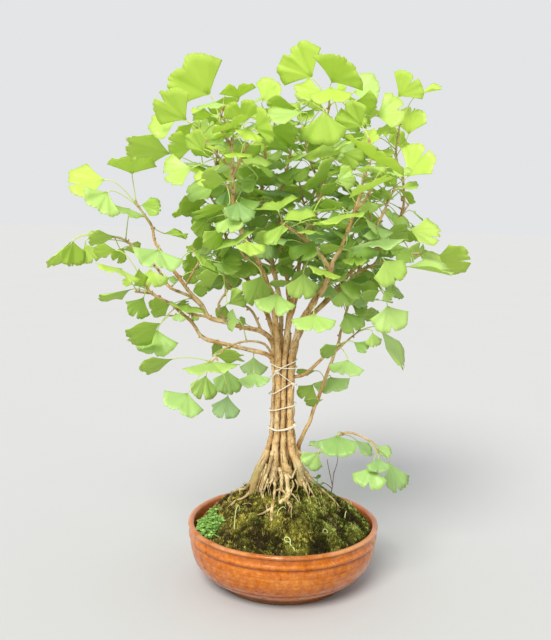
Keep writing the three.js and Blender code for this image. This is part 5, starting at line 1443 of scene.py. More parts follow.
def seam_shade(points, index):
    """How much painted shade each point of a stem gets for lying close against another stem."""
    shade = np.zeros(len(points))
    for other, path in enumerate(BUNDLED):
        if other == index:
            continue
        x, y, r = (np.interp(points[:, 2], path[:, 2], path[:, k]) for k in (0, 1, 3))
        gap = np.hypot(points[:, 0] - x, points[:, 1] - y) - r
        near = np.clip(1 - gap / 2.6, 0, 1) * (points[:, 2] < path[-1, 2])
        shade = np.maximum(shade, near)
    return shade


def sapling_wood(index, plant, leaves):
    """The stem with its branches, roots and spurs."""
    shape = Shape()
    draw = stream(SEEDS["wood"] + index)
    stem = smooth_path(stem_path(plant), 3.0)
    tube = knobbly(stem, 7.3 * index, 2.0, 0.30)
    add_tube(shape, tube, 16, bark_tints(tube, MOSSY.get(index, 0.3)), 0, 0.12)
    # The tint's middle share is the stem's painted seam shade.
    tint = shape.tint[-1].copy()
    tint[:, 1] = seam_shade(shape.points[-1], index)
    shape.tint[-1] = tint
    add_old_spurs(shape, stem, draw)
    for limb in plant["limbs"]:
        add_old_spurs(shape, add_wood(shape, placed(limb), 10, 0.14, 3.0), draw)
    if index == 3:
        add_wood(shape, BURL, 14, 0.4, 2.0)
        add_wood(shape, placed(FILLER), 12, 0.3)
    add_roots(shape, plant, stem, draw)
    for leaf in leaves:
        add_spur(shape, leaf, draw)
    return shape


def add_roots(shape, plant, stem, draw):
    """The drawn roots, and three more on each stem at the back."""
    for root in plant["roots"]:
        x, y, _, r = root[-1]
        run = root[:-1] + [[x, y, moss_top(math.hypot(x, y)) - ROOT_DEPTH, r]]
        add_wood(shape, run, 10, 0.22, 3.0, 1)
    if plant["stand"][0][1] <= 0:
        return
    out = math.atan2(plant["stand"][1][1], plant["stand"][1][0])
    for k in range(3):
        at = stem[np.argmin(np.abs(stem[:, 2] - 152 - 5 * k))].copy()
        at[2] = max(at[2], moss_top(math.hypot(at[0], at[1])) + 3)
        turn = out + (k - 1) * 0.7 + 0.6 * (draw() - 0.5)
        reach = 22 + 26 * draw()
        add_wood(shape, root_run(at, turn, reach, 1.2 + 1.1 * draw(), draw), 8, 0.24, 3.0, 1)


def add_spur(shape, leaf, draw):
    """A short ringed spur where a petiole leaves its branch."""
    run = unit(unit(leaf.base - leaf.root) + [0, 0, 0.5])
    size = 1.25 + 0.5 * draw()
    rows = [[*(leaf.root - run * 1.2), size * 0.8]]
    for k in range(4):
        rows.append([*(leaf.root + run * (0.2 + 0.9 * k)), size * (1.08 if k % 2 else 0.92)])
    rows.append([*(leaf.root + run * 3.8), size * 0.7])
    add_tube(shape, np.array(rows), 7, (0.55, 0.15, 0), 0, 0.1)


def add_old_spurs(shape, path, draw):
    """Stubs of old spurs along a branch."""
    run = 0.0
    for a, b in zip(path, path[1:]):
        run += np.linalg.norm(b[:3] - a[:3])
        if run < 14 + 16 * draw() or a[2] < OLD_SPURS_FROM:
            continue
        run = 0.0
        along = unit(b[:3] - a[:3])
        side = unit(np.cross(along, [draw() - 0.5, draw() - 0.5, draw() - 0.5]))
        lean = unit(side + along * 0.4)
        start = a[:3] + side * a[3] * 0.5
        size = 0.9 + 0.7 * draw()
        rows = [[*(start + lean * k), size * grow] for k, grow in
                ((0, 1.1), (1.2, 1.05), (2.2, 0.85), (3.0, 0.7))]
        add_tube(shape, np.array(rows), 6, (0.6, 0.2, 0), 0, 0.15)


leaves = all_leaves()
for index, plant in enumerate(SAPLINGS):
    own = [leaf for leaf in leaves if leaf.plant == index]
    name = f"sapling_{index + 1:02d}"
    wood = sapling_wood(index, plant, own)
    wood.piece(name + "_wood", [BARK, ROOT_SKIN], "tree", [name], "bark_tint")
    foliage = Shape()
    for k, leaf in enumerate(own):
        draw = stream(SEEDS["leaf edges"] + 100 * index + k)
        tint = leaf_tint(leaf, draw)
        add_blade(foliage, leaf, tint, draw)
        add_petiole(foliage, leaf, tint)
    looks = [LEAF_TOP, LEAF_UNDER, PETIOLE]
    foliage.piece(name + "_leaves", looks, "tree", [name], "leaf_tint")


# Roots that show on the front of the mound, drawn as the branches are. A depth
# of None lets the point rest on the moss.
SURFACE_ROOTS = [
    [[-17.5, 102, None, 1.9], [-24.7, 97.1, None, 1.7], [-30.6, 93.9, None, 1.5],
     [-36, 92.5, None, 0.8]],
    [[-17.6, 186, -14, 2.4], [-18, 178.5, -20, 2.4], [-20.7, 166.2, -24, 2.3],
     [-23.5, 155.1, -28, 2.2], [-26.3, 147.7, -32, 2.1], [-29.6, 136.6, -36, 1.8],
     [-32.5, 129.1, None, 1.2]],
    [[-22.5, 146, -32, 1.7], [-24.3, 139.2, -35, 1.7], [-26.6, 132.9, -38, 1.6],
     [-28.6, 125.5, None, 1.6], [-29.5, 116.8, None, 1.1]],
    [[-15.1, 149.2, -26, 1.4], [-17.9, 141.8, -30, 1.3], [-22.6, 139.2, -33, 1.2],
     [-25.5, 135.7, -35, 1.2], [-27, 128, None, 1.0]],
    [[-7.1, 162.9, -23, 2.9], [-4.3, 154.4, -28, 2.8], [-3.2, 145.9, -32, 2.6],
     [-3.2, 137.3, -36, 2.2], [-5.2, 128.6, -41, 1.5], [-5, 120, None, 1.0]],
    [[-9.9, 129.4, -41, 1.4], [-5.2, 130.8, -43, 1.6], [-0.4, 128.1, -45, 1.6],
     [3, 123.9, -47, 1.3]],
    [[4, 114, None, 2.6], [9.5, 108, None, 2.4], [12, 104.9, None, 1.8]],
    [[5.5, 130.1, -42, 1.1], [12.7, 124.1, None, 1.0], [18.8, 116.9, None, 0.9],
     [26.2, 105.9, None, 0.6]],
    [[4.9, 154.7, -27, 1.4], [7.6, 151.1, -28, 1.3], [10.8, 147.2, -29, 1.2],
     [13.8, 154.9, -27, 1.2], [17.2, 161.7, -22, 1.1]],
    [[11.6, 145, -30, 1.1], [13.8, 138.9, -33, 1.1], [12.5, 132.8, -37, 1.1],
     [9.3, 129, -42, 1.0]],
    [[26, 154, -15, 1.6], [31.8, 144.3, -19, 1.3], [36.2, 134.6, -22, 1.1],
     [40.5, 127.3, None, 1.0], [44.8, 120.1, None, 1.0], [49.7, 114.6, None, 0.9],
     [52.2, 109.7, None, 0.6]],
    [[27, 157, -6, 1.4], [32.8, 149.3, -5, 1.1], [39.5, 143.3, -2, 0.9], [46.8, 136.1, None, 0.8],
     [52.3, 127.7, None, 0.6]],
    [[-43, 151, -15, 2.0], [-45.5, 144.7, -17, 1.9], [-48.6, 138.5, -18, 1.8],
     [-54.4, 131, -16, 1.7], [-63.3, 128.9, -4, 1.6], [-70.4, 125.6, 6, 1.6],
     [-75.6, 117.4, None, 1.5], [-79.1, 112.4, None, 1.0]],
    [[-24.9, 168, -14, 1.7], [-27.3, 157.5, -18, 1.6], [-30.4, 145.1, -24, 1.5],
     [-33.5, 134, -28, 1.2], [-34, 126, None, 1.0]],
    [[-29, 163, -12, 1.4], [-32, 150, -17, 1.4], [-35.5, 138, -22, 1.1], [-37, 128, None, 0.9]],
    [[-58.2, 107.1, None, 0.7], [-53.5, 108.5, None, 0.8], [-48.5, 109.1, None, 0.5]],
    [[-20, 112, None, 0.8], [-24, 106, None, 0.9], [-23, 101, None, 0.6]],
    [[16, 146, -28, 1.0], [20, 137, -33, 1.0], [19, 128, None, 0.9], [22, 119, None, 0.6]],
]


def resting(across, up, lift):
    """Where a sight line first meets the moss, or a little over it."""
    for depth in np.arange(-125.0, 60.0, 1.0):
        x, y, z = sight(across, up, depth)
        if z < smooth_moss(x, y) + lift:
            return [x, y, z]
    return list(sight(across, up, 20.0))


def surface_roots():
    """The drawn roots, and fine rootlets that leave them for the moss."""
    shape = Shape()
    draw = stream(SEEDS["rootlets"])
    for rows in SURFACE_ROOTS:
        path = []
        for across, up, depth, radius in rows:
            place = resting(across, up, 0.5) if depth is None else sight(across, up, depth)
            path.append([*place, radius])
        path.append([*(2 * np.array(path[-1][:3]) - np.array(path[-2][:3])), 0.6 * path[-1][3]])
        x, y = path[-1][:2]
        path[-1][2] = min(path[-1][2], moss_top(math.hypot(x, y)) - 3)
        add_tube(shape, smooth_path(path, 2.0), 9, (0.5, 0, 0), 0, 0.32)
        for (across, up, _, radius), start in zip(rows[1:], path[1:]):
            if radius < 1.1 or up < 104 or draw() < 0.35:
                continue
            end = resting(across + 14 * (draw() - 0.5), up - 9 - 12 * draw(), 0.2)
            middle = (np.array(start[:3]) + end) / 2 + [2 * draw() - 1, -2, 1.5]
            fine = [[*start[:3], 0.9], [*middle, 0.45 + 0.3 * draw()], [*end, 0.4]]
            add_tube(shape, smooth_path(fine, 2.0), 6, (0.5, 0, 0), 0, 0.3)
    return shape


surface_roots().piece("surface_roots", [ROOT_SKIN], "tree")


# ---------- twine
CORD_RADIUS = 0.6
CORD_STEP = 0.55
STRAND_RADIUS = 0.46
STRAND_OFFSET = 0.34
STRAND_PITCH = 4.2
KNOT_SIZE = 2.6
TURN_STEPS = 160
TWINE_AWAY = 1.0


def stems_at(height):
    """Where the eleven tied stems stand at a height, and how thick they are there."""
    found = []
    for plant in SAPLINGS[:11]:
        path = stem_path(plant)
        k = next(i for i in range(1, len(path)) if path[i][2] >= height)
        a, b = np.array(path[k - 1]), np.array(path[k])
        found.append(a + (b - a) * (height - a[2]) / (b[2] - a[2]))
    return np.array(found)


def twine_run(levels):
    """A turn of twine pulled tight round the stems: its height on the front is
    drawn by (across, up) pairs, and it runs straight between their ends behind."""
    across, heights = np.array(levels, float).T
    path = []
    stems = stems_at(heights.mean())
    for turn in turns_of(TURN_STEPS):
        out = heading(turn)[:2]
        lead = stems[:, :2] @ out + stems[:, 3]
        x, y, _, r = stems[lead.argmax()]
        x, y = x + out[0] * (r + TWINE_AWAY), y + out[1] * (r + TWINE_AWAY)
        ends = [0, -1] if out[1] > 0 else slice(None)
        path.append([x, y, float(np.interp(x, across[ends], heights[ends]))])
    return np.array(path)


def nearest_turn(path, turn):
    """The point of a closed run that lies in a direction, and that direction."""
    out = heading(turn)
    return path[int(round(turn / (2 * math.pi) * len(path))) % len(path)], out


def evenly(path, spacing):
    """A closed run of points at equal distances along a closed path."""
    whole = np.vstack([path, path[:1]])
    run = run_along(whole)
    count = int(run[-1] / spacing)
    where = np.arange(count) * run[-1] / count
    return np.stack([np.interp(where, run, whole[:, k]) for k in range(3)], axis=1)


def sides_of_loop(points):
    """The upward and the sideways direction at each point of a closed run."""
    runs = np.roll(points, -1, axis=0) - np.roll(points, 1, axis=0)
    runs /= np.linalg.norm(runs, axis=1)[:, None]
    side = UPWARD - runs * runs[:, 2:3]
    side /= np.linalg.norm(side, axis=1)[:, None]
    return side, np.cross(runs, side)


def add_loop(shape, points, radius):
    """A closed ring of cord."""
    sides = 6
    side, other = sides_of_loop(points)
    turn = turns_of(sides)
    rings = points[:, None] + radius * spokes(side, other, turn)
    count = len(points)
    faces = tube_faces(count, sides)
    k = np.arange(sides)
    beside = (k + 1) % sides
    end = (count - 1) * sides
    last = np.c_[end + k, end + beside, beside, k]
    length = np.arange(count) * np.linalg.norm(points[1] - points[0])
    uv = pairs(turn[None] / 6.3, length[:, None])
    shape.add(rings.reshape(-1, 3), np.concatenate([faces, last]), uv.reshape(-1, 2))


def add_twisted_loop(shape, path):
    """Two strands laid round each other."""
    points = evenly(path, CORD_STEP)
    count = len(points)
    turns = max(1, round(count * CORD_STEP / STRAND_PITCH))
    side, other = sides_of_loop(points)
    for strand in (0, math.pi):
        angle = (2 * np.pi * turns * np.arange(count) / count + strand)[:, None]
        off = side * np.cos(angle) + other * np.sin(angle)
        add_loop(shape, points + STRAND_OFFSET * off, STRAND_RADIUS)


def add_knot(shape, centre, out, size, draw):
    """An overhand knot with two short ends."""
    level = unit(np.array([-out[1], out[0], 0.0]))
    top = UPWARD
    rows = []
    for t in np.linspace(0, 2 * np.pi, 40, endpoint=False):
        a = math.sin(t) + 2 * math.sin(2 * t)
        b = math.cos(t) - 2 * math.cos(2 * t)
        c = -math.sin(3 * t)
        rows.append(
            centre + (level * a + top * b) * size * 0.36 + out * (c * size * 0.28 + size * 0.2))
    add_loop(shape, np.array(rows), CORD_RADIUS)
    for way in (-1, 1):
        reach = 1.5 + 2 * draw()
        drop = 2 + 4 * draw()
        end = np.array([
            [*(centre + out * size * 0.3), 0.62],
            [*(centre + level * way * reach * 0.5 + out * size * 0.9 + top * 0.5), 0.6],
            [*(centre + level * way * reach + out * size * 1.1 - top * drop), 0.5],
        ])
        add_tube(shape, smooth_path(end, 1.2), 6)


# For each tie: its turns, as (across, up) pairs, and the angles of its knots.
KNOT_TURN = -1.86
TIES = {
    "tie_low": (
        [[(-22, 224), (-12, 221.6), (0, 223.2), (14, 228.6)],
         [(-22, 222.4), (-12, 220.6), (4, 222.4), (14, 227.4)]],
        [-0.52]),
    "tie_middle": ([[(-20, 248.4), (0, 254), (15, 257.6)]], [2.09]),
    "tie_upper": ([[(-20, 271.2), (8, 288.6), (16, 283)]], [-1.0]),
    "tie_top": (
        [[(-21, 294), (-9, 309.4), (11.8, 319), (16, 320)],
         [(-23, 315), (-9, 309.6), (8.3, 309.2), (16, 308.6)]],
        [KNOT_TURN]),
}


def tie_piece(name, turns, knots):
    """One tie: its turns of twine, its knots, and the link between the upper two."""
    loop = Shape()
    for levels in turns:
        add_twisted_loop(loop, twine_run(levels))
    first = twine_run(turns[0])
    for k, turn in enumerate(knots):
        spot, out = nearest_turn(first, turn)
        draw = stream(SEEDS["knots"] + 7 * k + len(name))
        add_knot(loop, spot + out * 0.3, out, KNOT_SIZE, draw)
    if name == "tie_upper":
        above, _ = nearest_turn(twine_run(TIES["tie_top"][0][0]), KNOT_TURN)
        below, out = nearest_turn(first, knots[0])
        middle = (above + below) / 2 + out * 1.6
        link = np.array([[*spot, CORD_RADIUS] for spot in (above, middle, below)])
        add_tube(loop, smooth_path(link, 1.5), 6)
    loop.piece(name + "_cord", [TWINE], "twine", [name])


for name, (turns, knots) in TIES.items():
    tie_piece(name, turns, knots)


# ---------- pot
# The pot's profile, out from the middle of its underside, up the outside and back
# down the inside: radius and height.
POT_PROFILE = [
    (0, 0), (84, 0), (86, 1.0), (88, 0.3), (90, 0.8), (91.4, 3.0), (93.4, 6.0), (99, 9.8),
    (106, 14.4), (112.5, 19), (116.6, 22.8), (118.2, 24.8), (118.6, 26.2), (119.8, 27),
    (122.6, 30.4), (126, 36), (128.8, 43), (130.8, 51), (131.8, 58), (131.9, 62.6), (131.4, 65.2),
    (130.9, 66.4), (131.2, 67.3), (132.6, 68.2), (133.8, 69.6), (134.2, 71.2), (133.8, 72.8),
    (132.8, 74.2), (132.1, 76), (131.9, 78.4), (132.2, 80.6), (132.2, 82.0), (133.4, 82.8),
    (134.7, 84.0), (135.1, 85.4), (134.6, 86.8), (133.2, 87.7), (131, 88), (128.9, 87.7),
    (127.3, 86.6), (126.6, 84.6), (126.2, 80), (125.6, 72), (124, 52),
    (118.5, 37), (110, 24), (99, 14.5), (90, 9.4), (82, 8), (0, 8),
]
# Bands of painted shade, in its grooves and under the body just above the foot: how high each
# lies, and half its width.
POT_SHADE_BANDS = [(7.6, 3.0), (25.6, 1.3), (66.6, 1.0), (81.8, 0.9)]
POT_SIDES = 144


def turned_pot():
    """The pot on the wheel: its profile turned, a little out of true."""
    profile = smooth_profile(POT_PROFILE)
    sides = POT_SIDES
    turn = turns_of(sides)
    wall = np.array(profile[1:-1])
    wobble = np.array([
        0.35 * math.sin(2 * t + 0.6) + 0.2 * math.sin(5 * t + 2) + 0.12 * math.sin(11 * t)
        for t in turn
    ])
    r = wall[:, 0][:, None] + wobble[None] * np.clip(wall[:, 1] / 30, 0, 1)[:, None] - 0.4
    z = np.repeat(wall[:, 1][:, None], sides, axis=1)
    z = z + np.clip(z / 88, 0, 1) * 0.6 * (np.cos(turn - 2.6)[None] - 1)
    points = np.stack([r * np.cos(turn), r * np.sin(turn), z], axis=-1).reshape(-1, 3)
    points = np.concatenate([points, [[0, 0, profile[0][1]], [0, 0, profile[-1][1]]]])
    rings = len(wall)
    run = run_along(wall) / 100
    uv = pairs(np.abs(turn / np.pi - 1)[None], run[:, None]).reshape(-1, 2)
    uv = np.concatenate([uv, [[0, 0], [0, run[-1]]]])
    # Painted shade in bands at the grooves and under the body just above the foot.
    dark = np.array([
        max(math.exp(-((z - level) / half) ** 2) for level, half in POT_SHADE_BANDS)
        for _, z in wall
    ])
    outer = np.arange(rings) < np.argmax(wall[:, 1])
    tint = np.repeat(np.c_[dark * outer, ~outer, dark * 0], sides, axis=0)
    tint = np.concatenate([tint, np.zeros((2, 3))])
    shape = Shape()
    shape.add(points, tube_faces(rings, sides), uv, tint)
    shape.cover(end_fans(rings, sides))
    return shape


def smooth_profile(rows):
    """The profile with its long runs divided evenly."""
    out = [rows[0]]
    for (ra, za), (rb, zb) in zip(rows, rows[1:]):
        count = max(1, int(math.hypot(rb - ra, zb - za) / 5))
        for k in range(1, count + 1):
            out.append((ra + (rb - ra) * k / count, za + (zb - za) * k / count))
    return out


def drill(pot):
    """Cuts the three drain holes through the floor."""
    shape = Shape()
    sides = 32
    turn = turns_of(sides)
    for degrees in (90, 210, 330):
        x = HOLE_OFFSET * math.cos(math.radians(degrees))
        y = HOLE_OFFSET * math.sin(math.radians(degrees))
        low = np.c_[x + HOLE_RADIUS * np.cos(turn), y + HOLE_RADIUS * np.sin(turn),
                    np.full(sides, -5.0)]
        points = np.concatenate([low, low + [0, 0, 20], [[x, y, -5], [x, y, 15]]])
        shape.add(points, tube_faces(2, sides))
        shape.cover(end_fans(2, sides))
    cutter = shape.piece("drill", [GLAZE], "glaze")
    cut = pot.modifiers.new("holes", "BOOLEAN")
    cut.object = cutter
    cut.solver = "EXACT"
    drilled = bpy.data.meshes.new_from_object(
        pot.evaluated_get(bpy.context.evaluated_depsgraph_get()))
    pot.modifiers.clear()
    pot.data = drilled
    bpy.data.objects.remove(cutter)


pot = turned_pot().piece("turned_pot", [GLAZE], "glaze", ["pot"], "groove_tint")
drill(pot)


# ---------- moss
def clumps(x, y):
    """How far the moss swells into clumps here, from -1 in the gaps to 1 on top."""
    broad = waver(x * 0.055, y * 0.055, 3.0)
    small = waver(x * 0.15, y * 0.15, 8.0)
    return clamp(1.1 * broad + 0.9 * small, -1.0)


def ground(x, y):
    """The top of the moss, with its clumps."""
    r = max(math.hypot(x, y), 0.01)
    edge = clamp((MOSS_RADIUS - r) / 10)
    rough = waver(x * 0.4, y * 0.4, 12.0)
    left = clamp(1.6 * (-0.92 * x + 0.39 * y) / r - 0.5)
    sunk = 7.5 * clamp((r - 92) / 18) * left
    raised = sum(rise * nearness(x, y, place) for place, _, _, _, rise in MOSS_PLACES)
    swell = 3.6 * clumps(x, y) + 1.2 * rough + raised
    return smooth_moss(x, y) + swell * edge - sunk


# Places where the moss differs: (x, y, size), how much lighter, how much more
# golden, how much strawier, and how far it stands up. Most darker places also sink and the
# lighter ones rise: painted shade in the hollows and painted light on the humps.
MOSS_PLACES = [
    ((-30, -92, 15), -0.5, 0, 0.25, -3), ((-4, -101, 13), -0.45, 0, 0.2, -3),
    ((47, -98, 13), -0.45, -0.2, 0.1, -2), ((94, -22, 20), -0.4, -0.3, 0.3, -2),
    ((4, -86, 19), 0.16, 0.6, 0, 2), ((27, -98, 9), 0.12, 0.6, 0, 1),
    ((-96, 14, 20), -0.2, 0, 0.6, 0), ((-70, -36, 22), -0.05, 0.2, 0.1, 0),
    ((-20, -28, 6), -0.9, 0, 0, -3), ((16, -30, 7), -0.9, 0, 0, -4),
    ((-31, -24, 6), -0.7, 0, 0, -2), ((-8, -40, 6), -0.6, 0, 0, -2),
    ((24, -50, 24), 0.05, -0.2, 0, 2),
]


def nearness(x, y, place):
    return math.exp(-((x - place[0]) ** 2 + (y - place[1]) ** 2) / place[2] ** 2)


def moss_look(x, y):
    """Light, straw and gold shares of the moss at a place. The light share is partly painted:
    lighter on the clumps and humps, darker as painted shade in the gaps and hollows.
    """
    swell = clumps(x, y)
    patch = waver(x * 0.035 + 5, y * 0.035, 20.0)
    look = np.array([
        0.48 + 0.44 * swell + 0.22 * patch, 0.12 - 0.4 * patch - 0.1 * swell - 0.0012 * x,
        0.35 - 0.006 * x + waver(x * 0.05, y * 0.05 + 9, 40.0)])
    for place, *change, _ in MOSS_PLACES:
        near = nearness(x, y, place)
        look += near * np.array([change[0], change[2], change[1]])
    return look


def moss_sheet():
    """The carpet: the mound's lumpy top, closed by a smooth underside."""
    rings, sides = 62, 170
    radii = MOSS_RADIUS * (np.arange(1, rings + 1) / rings) ** 0.9
    turn = turns_of(sides)
    spots = [(r * math.cos(t), r * math.sin(t)) for r in radii for t in turn]
    top = np.array([[x, y, ground(x, y)] for x, y in spots])
    inward = radii[::-1][::6]
    low = np.array([[r * math.cos(t), r * math.sin(t), moss_top(r) - MOSS_THICKNESS]
                    for r in inward for t in turn])
    hub = [[0, 0, ground(0, 0)], [0, 0, moss_top(0) - MOSS_THICKNESS]]
    points = np.concatenate([top, low, hub])
    tints = np.zeros((len(points), 3))
    tints[:len(spots)] = np.clip([moss_look(x, y) for x, y in spots], 0, 1)
    whole = rings + len(inward)
    shape = Shape()
    shape.add(points, tube_faces(whole, sides)[:, ::-1], None, tints)
    shape.cover(end_fans(whole, sides)[:, ::-1])
    return shape


def add_blades(shape, spots, heights, leans, widths, tints):
    """Many three-sided spikes at once, each closed by a base under the moss."""
    count = len(spots)
    turn = np.random.default_rng(11).uniform(0, 2 * np.pi, count)
    feet = []
    for k in range(3):
        angle = turn + 2 * np.pi * k / 3
        feet.append(spots + np.c_[
            widths * np.cos(angle), widths * np.sin(angle), np.full(count, -0.6)])
    tip = spots + np.c_[leans, heights]
    points = np.stack([*feet, tip], axis=1).reshape(-1, 3)
    base = 4 * np.arange(count)[:, None]
    faces = np.concatenate([
        base + [0, 1, 3], base + [1, 2, 3], base + [2, 0, 3], base + [0, 2, 1]])
    # Painted shade at each spike's three feet and painted light at its tip.
    shade = np.array([0.25, 0.25, 0.25, 1.2])[None, :, None]
    hues = np.repeat(tints[:, None, 1:], 4, axis=1)
    lit = np.concatenate([tints[:, None, :1] * shade, hues], axis=2)
    shape.add(points, faces, None, lit.reshape(-1, 3))


def moss_tufts(stars, blades):
    """Little stars of leafy shoots, each spreading from its own middle."""
    rng = np.random.default_rng(5)
    r = MOSS_RADIUS * 0.99 * np.sqrt(rng.uniform(0.0, 1.0, stars))
    turn = rng.uniform(0, 2 * np.pi, stars)
    middles = np.c_[r * np.cos(turn), r * np.sin(turn)]
    look = np.array([moss_look(*spot) for spot in middles])
    look[:, 0] += 0.24 * rng.normal(0, 1, stars)
    straw = rng.uniform(0, 1, stars) < np.clip(look[:, 1], 0.03, 0.6)
    size = rng.uniform(1.2, 3.0, stars)
    middles, look, straw, size = (
        np.repeat(values, blades, axis=0) for values in (middles, look, straw, size))
    count = stars * blades
    turn = rng.uniform(0, 2 * np.pi, count)
    spread = np.sqrt(rng.uniform(0, 1, count))
    out = np.c_[np.cos(turn), np.sin(turn)] * (spread * size)[:, None]
    spots = middles + out
    r = np.linalg.norm(spots, axis=1)
    spots *= np.minimum(1, MOSS_RADIUS / r)[:, None]
    z = np.array([ground(*spot) for spot in spots])
    # Lighter at the middle of each star, where it stands tallest, and darker at its edge: painted
    # light and painted shade.
    light = look[:, 0] + 0.12 * rng.normal(0, 1, count) + 0.2 - 0.5 * spread
    tints = np.clip(np.c_[light, straw, look[:, 2]], 0, 1)
    heights = (1.0 + 2.6 * rng.uniform(0, 1, count) + light) * (1 - 0.45 * spread)
    leans = out * rng.uniform(0.3, 1.3, count)[:, None] + rng.normal(0, 0.9, (count, 2))
    widths = rng.uniform(0.30, 0.70, count)
    shape = Shape()
    add_blades(shape, np.c_[spots, z], heights, leans, widths, tints)
    return shape


moss_sheet().piece("moss_carpet", [MOSS], "moss", ["moss"], "tuft_tint")
moss_tufts(stars=3300, blades=14).piece("moss_tufts", [TUFT], "moss", ["moss"], "tuft_tint", True)


# ---------- small plants
def add_round_leaf(shape, base, along, size, tint):
    """A small round leaf, cupped, with a closed underside."""
    across = unit(np.cross(along, [0.02, 0.01, 1.0]))
    normal = np.cross(across, along)
    if normal[2] < 0:
        normal = -normal
        across = -across
    rings, sides = 3, 8
    points = [base + along * size * 0.5]
    for j in range(1, rings + 1):
        v = j / rings
        for k in range(sides):
            t = 2 * math.pi * k / sides
            wave = 1 + 0.08 * math.sin(3 * t + 6 * tint[2])
            points.append(base + along * size * (0.5 + 0.5 * v * wave * math.cos(t))
                          + across * size * 0.5 * v * wave * math.sin(t)
                          + normal * size * 0.16 * v * v)
    points = np.array(points)
    count = len(points)
    points = np.concatenate([points + normal * 0.12, points - normal * 0.12])
    k = np.arange(sides)
    beside = (k + 1) % sides
    fan = np.c_[np.zeros(sides, int), 1 + beside, 1 + k]
    quads = tube_faces(rings, sides) + 1
    edge = 1 + (rings - 1) * sides
    rim = np.c_[edge + k, edge + beside, edge + beside + count, edge + k + count]
    shape.add(points, fan, None, tint)
    for faces in (fan[:, ::-1] + count, quads, quads[:, ::-1] + count, rim):
        shape.cover(faces)


SEEDLING_RING = 114


def seedling_patch():
    """A close patch of tiny-leaved seedlings over their runner."""
    shape = Shape()
    draw = stream(SEEDS["seedlings"])
    runner = []
    for k in range(5):
        turn = math.pi * (1.03 + 0.05 * k)
        x, y = SEEDLING_RING * math.cos(turn), SEEDLING_RING * math.sin(turn)
        runner.append([x, y, moss_top(SEEDLING_RING) + 0.2, 0.8])
    add_tube(shape, smooth_path(runner, 3), 7, (0.3, 0.3, 0.5))
    for _ in range(230):
        turn = math.pi * (1.035 + 0.165 * draw())
        r = 98 + 26 * draw() ** 0.8
        x, y = r * math.cos(turn), r * math.sin(turn)
        z = ground(x, y)
        lean = np.array([draw() - 0.5, draw() - 0.5, 0]) * 5
        top = np.array([x, y, z + 3 + 8 * draw()]) + lean
        middle = (np.array([x, y, z]) + top) / 2 + lean * 0.1
        stalk = [[x, y, z - 1, 0.35], [*middle, 0.3], [*top, 0.25]]
        tint = [draw(), draw(), draw()]
        add_tube(shape, smooth_path(stalk, 2.5), 4, tint)
        start = 2 * math.pi * draw()
        for leaf in range(3):
            way = start + 2.1 * leaf
            along = unit(heading(way, 0.15 + 0.5 * draw()))
            add_round_leaf(shape, top, along, 1.8 + 2.0 * draw(), tint)
    return shape


# The dry twig's branches: [x, y, z, radius].
SPRIG = [
    [[70, 56, 103, 0.9], [72, 57, 116, 0.8], [74, 58, 140, 0.7]],
    [[72.5, 57, 118, 0.7], [66, 55, 146, 0.6], [63, 54, 160, 0.5]],
    [[74, 58, 138, 0.7], [78, 58, 152, 0.6], [79, 58, 164, 0.45]],
    [[72.5, 57, 114, 0.7], [60, 52, 124, 0.6], [54, 50, 122, 0.45]],
]


def dry_twig():
    shape = Shape()
    for path in SPRIG:
        add_tube(shape, smooth_path(path, 2.5), 7, rough=0.2)
    return shape


# Pale bent shoots and blades of grass in the moss: where each stands, its height,
# the way it bends, and how far.
SHOOTS = [
    (-65, -76, 33, 0.5, 6), (-8, -74, 13, 0.3, 9), (86, -30, 9, 1.2, 6),
    (60, -78, 8, 3.9, 7), (94, 12, 12, 5.0, 8), (40, 88, 12, 1.8, 8), (-52, 82, 14, 2.6, 9),
]

# A shoot that has grown in a loop, drawn as (across, up, depth, radius).
CURL = [
    [20, 34, -113, 0.6], [16.6, 42.9, -112, 0.8], [13.6, 46.1, -110, 0.8], [10.9, 50.7, -108, 0.8],
    [11.4, 54.2, -107, 0.8], [10.1, 57.8, -106, 0.8], [6.6, 60.1, -105, 0.8],
    [3.5, 59.1, -104, 0.8], [2.5, 56.5, -104, 0.7], [5, 53.4, -105, 0.7], [9.5, 52.6, -107, 0.6],
]


def pale_shoots():
    """Thin shoots that nod at their tips, and the one that has looped."""
    shape = Shape()
    add_tube(shape, smooth_path(placed(CURL), 1.2), 7, (0.9, 0.2, 0.5), 0, 0.1)
    for k, (x, y, high, way, bend) in enumerate(SHOOTS):
        foot = np.array([x, y, ground(x, y) - 1.0])
        out = heading(way)
        rows = [[*foot, 0.75]]
        for t in (0.3, 0.6, 0.85, 1.0, 1.15):
            rise = high * math.sin(min(t, 1.0) * math.pi / 2) - (t > 1) * 0.25 * high
            rows.append([*(foot + out * bend * t * t + [0, 0, rise]), 0.75 - 0.3 * t])
        add_tube(shape, smooth_path(rows, 1.5), 7, (0.9, 0.2 + 0.1 * (k % 3), 0.5), 0, 0.1)
    return shape


def round_leaf_weed():
    """A little creeping weed with a few round leaves beside the trunk."""
    shape = Shape()
    draw = stream(SEEDS["weed"])
    for x, y, high in ((44, -12, 16), (50, -4, 11), (38, -18, 9)):
        foot = np.array([x, y, ground(x, y) - 1.0])
        top = foot + [6 * draw(), -3, high]
        rows = [[*foot, 0.5], [*((foot + top) / 2 + [1.5, 0, 1]), 0.45], [*top, 0.4]]
        add_tube(shape, smooth_path(rows, 1.5), 6, (0.4, 0.3, 0.5))
        for leaf in range(2):
            way = 0.3 + 2.4 * leaf + draw()
            along = unit(np.array([math.cos(way), math.sin(way) - 0.6, 0.4]))
            add_round_leaf(shape, top, along, 6.5 + 2 * draw(), [0.35, 0.3, draw()])
    return shape


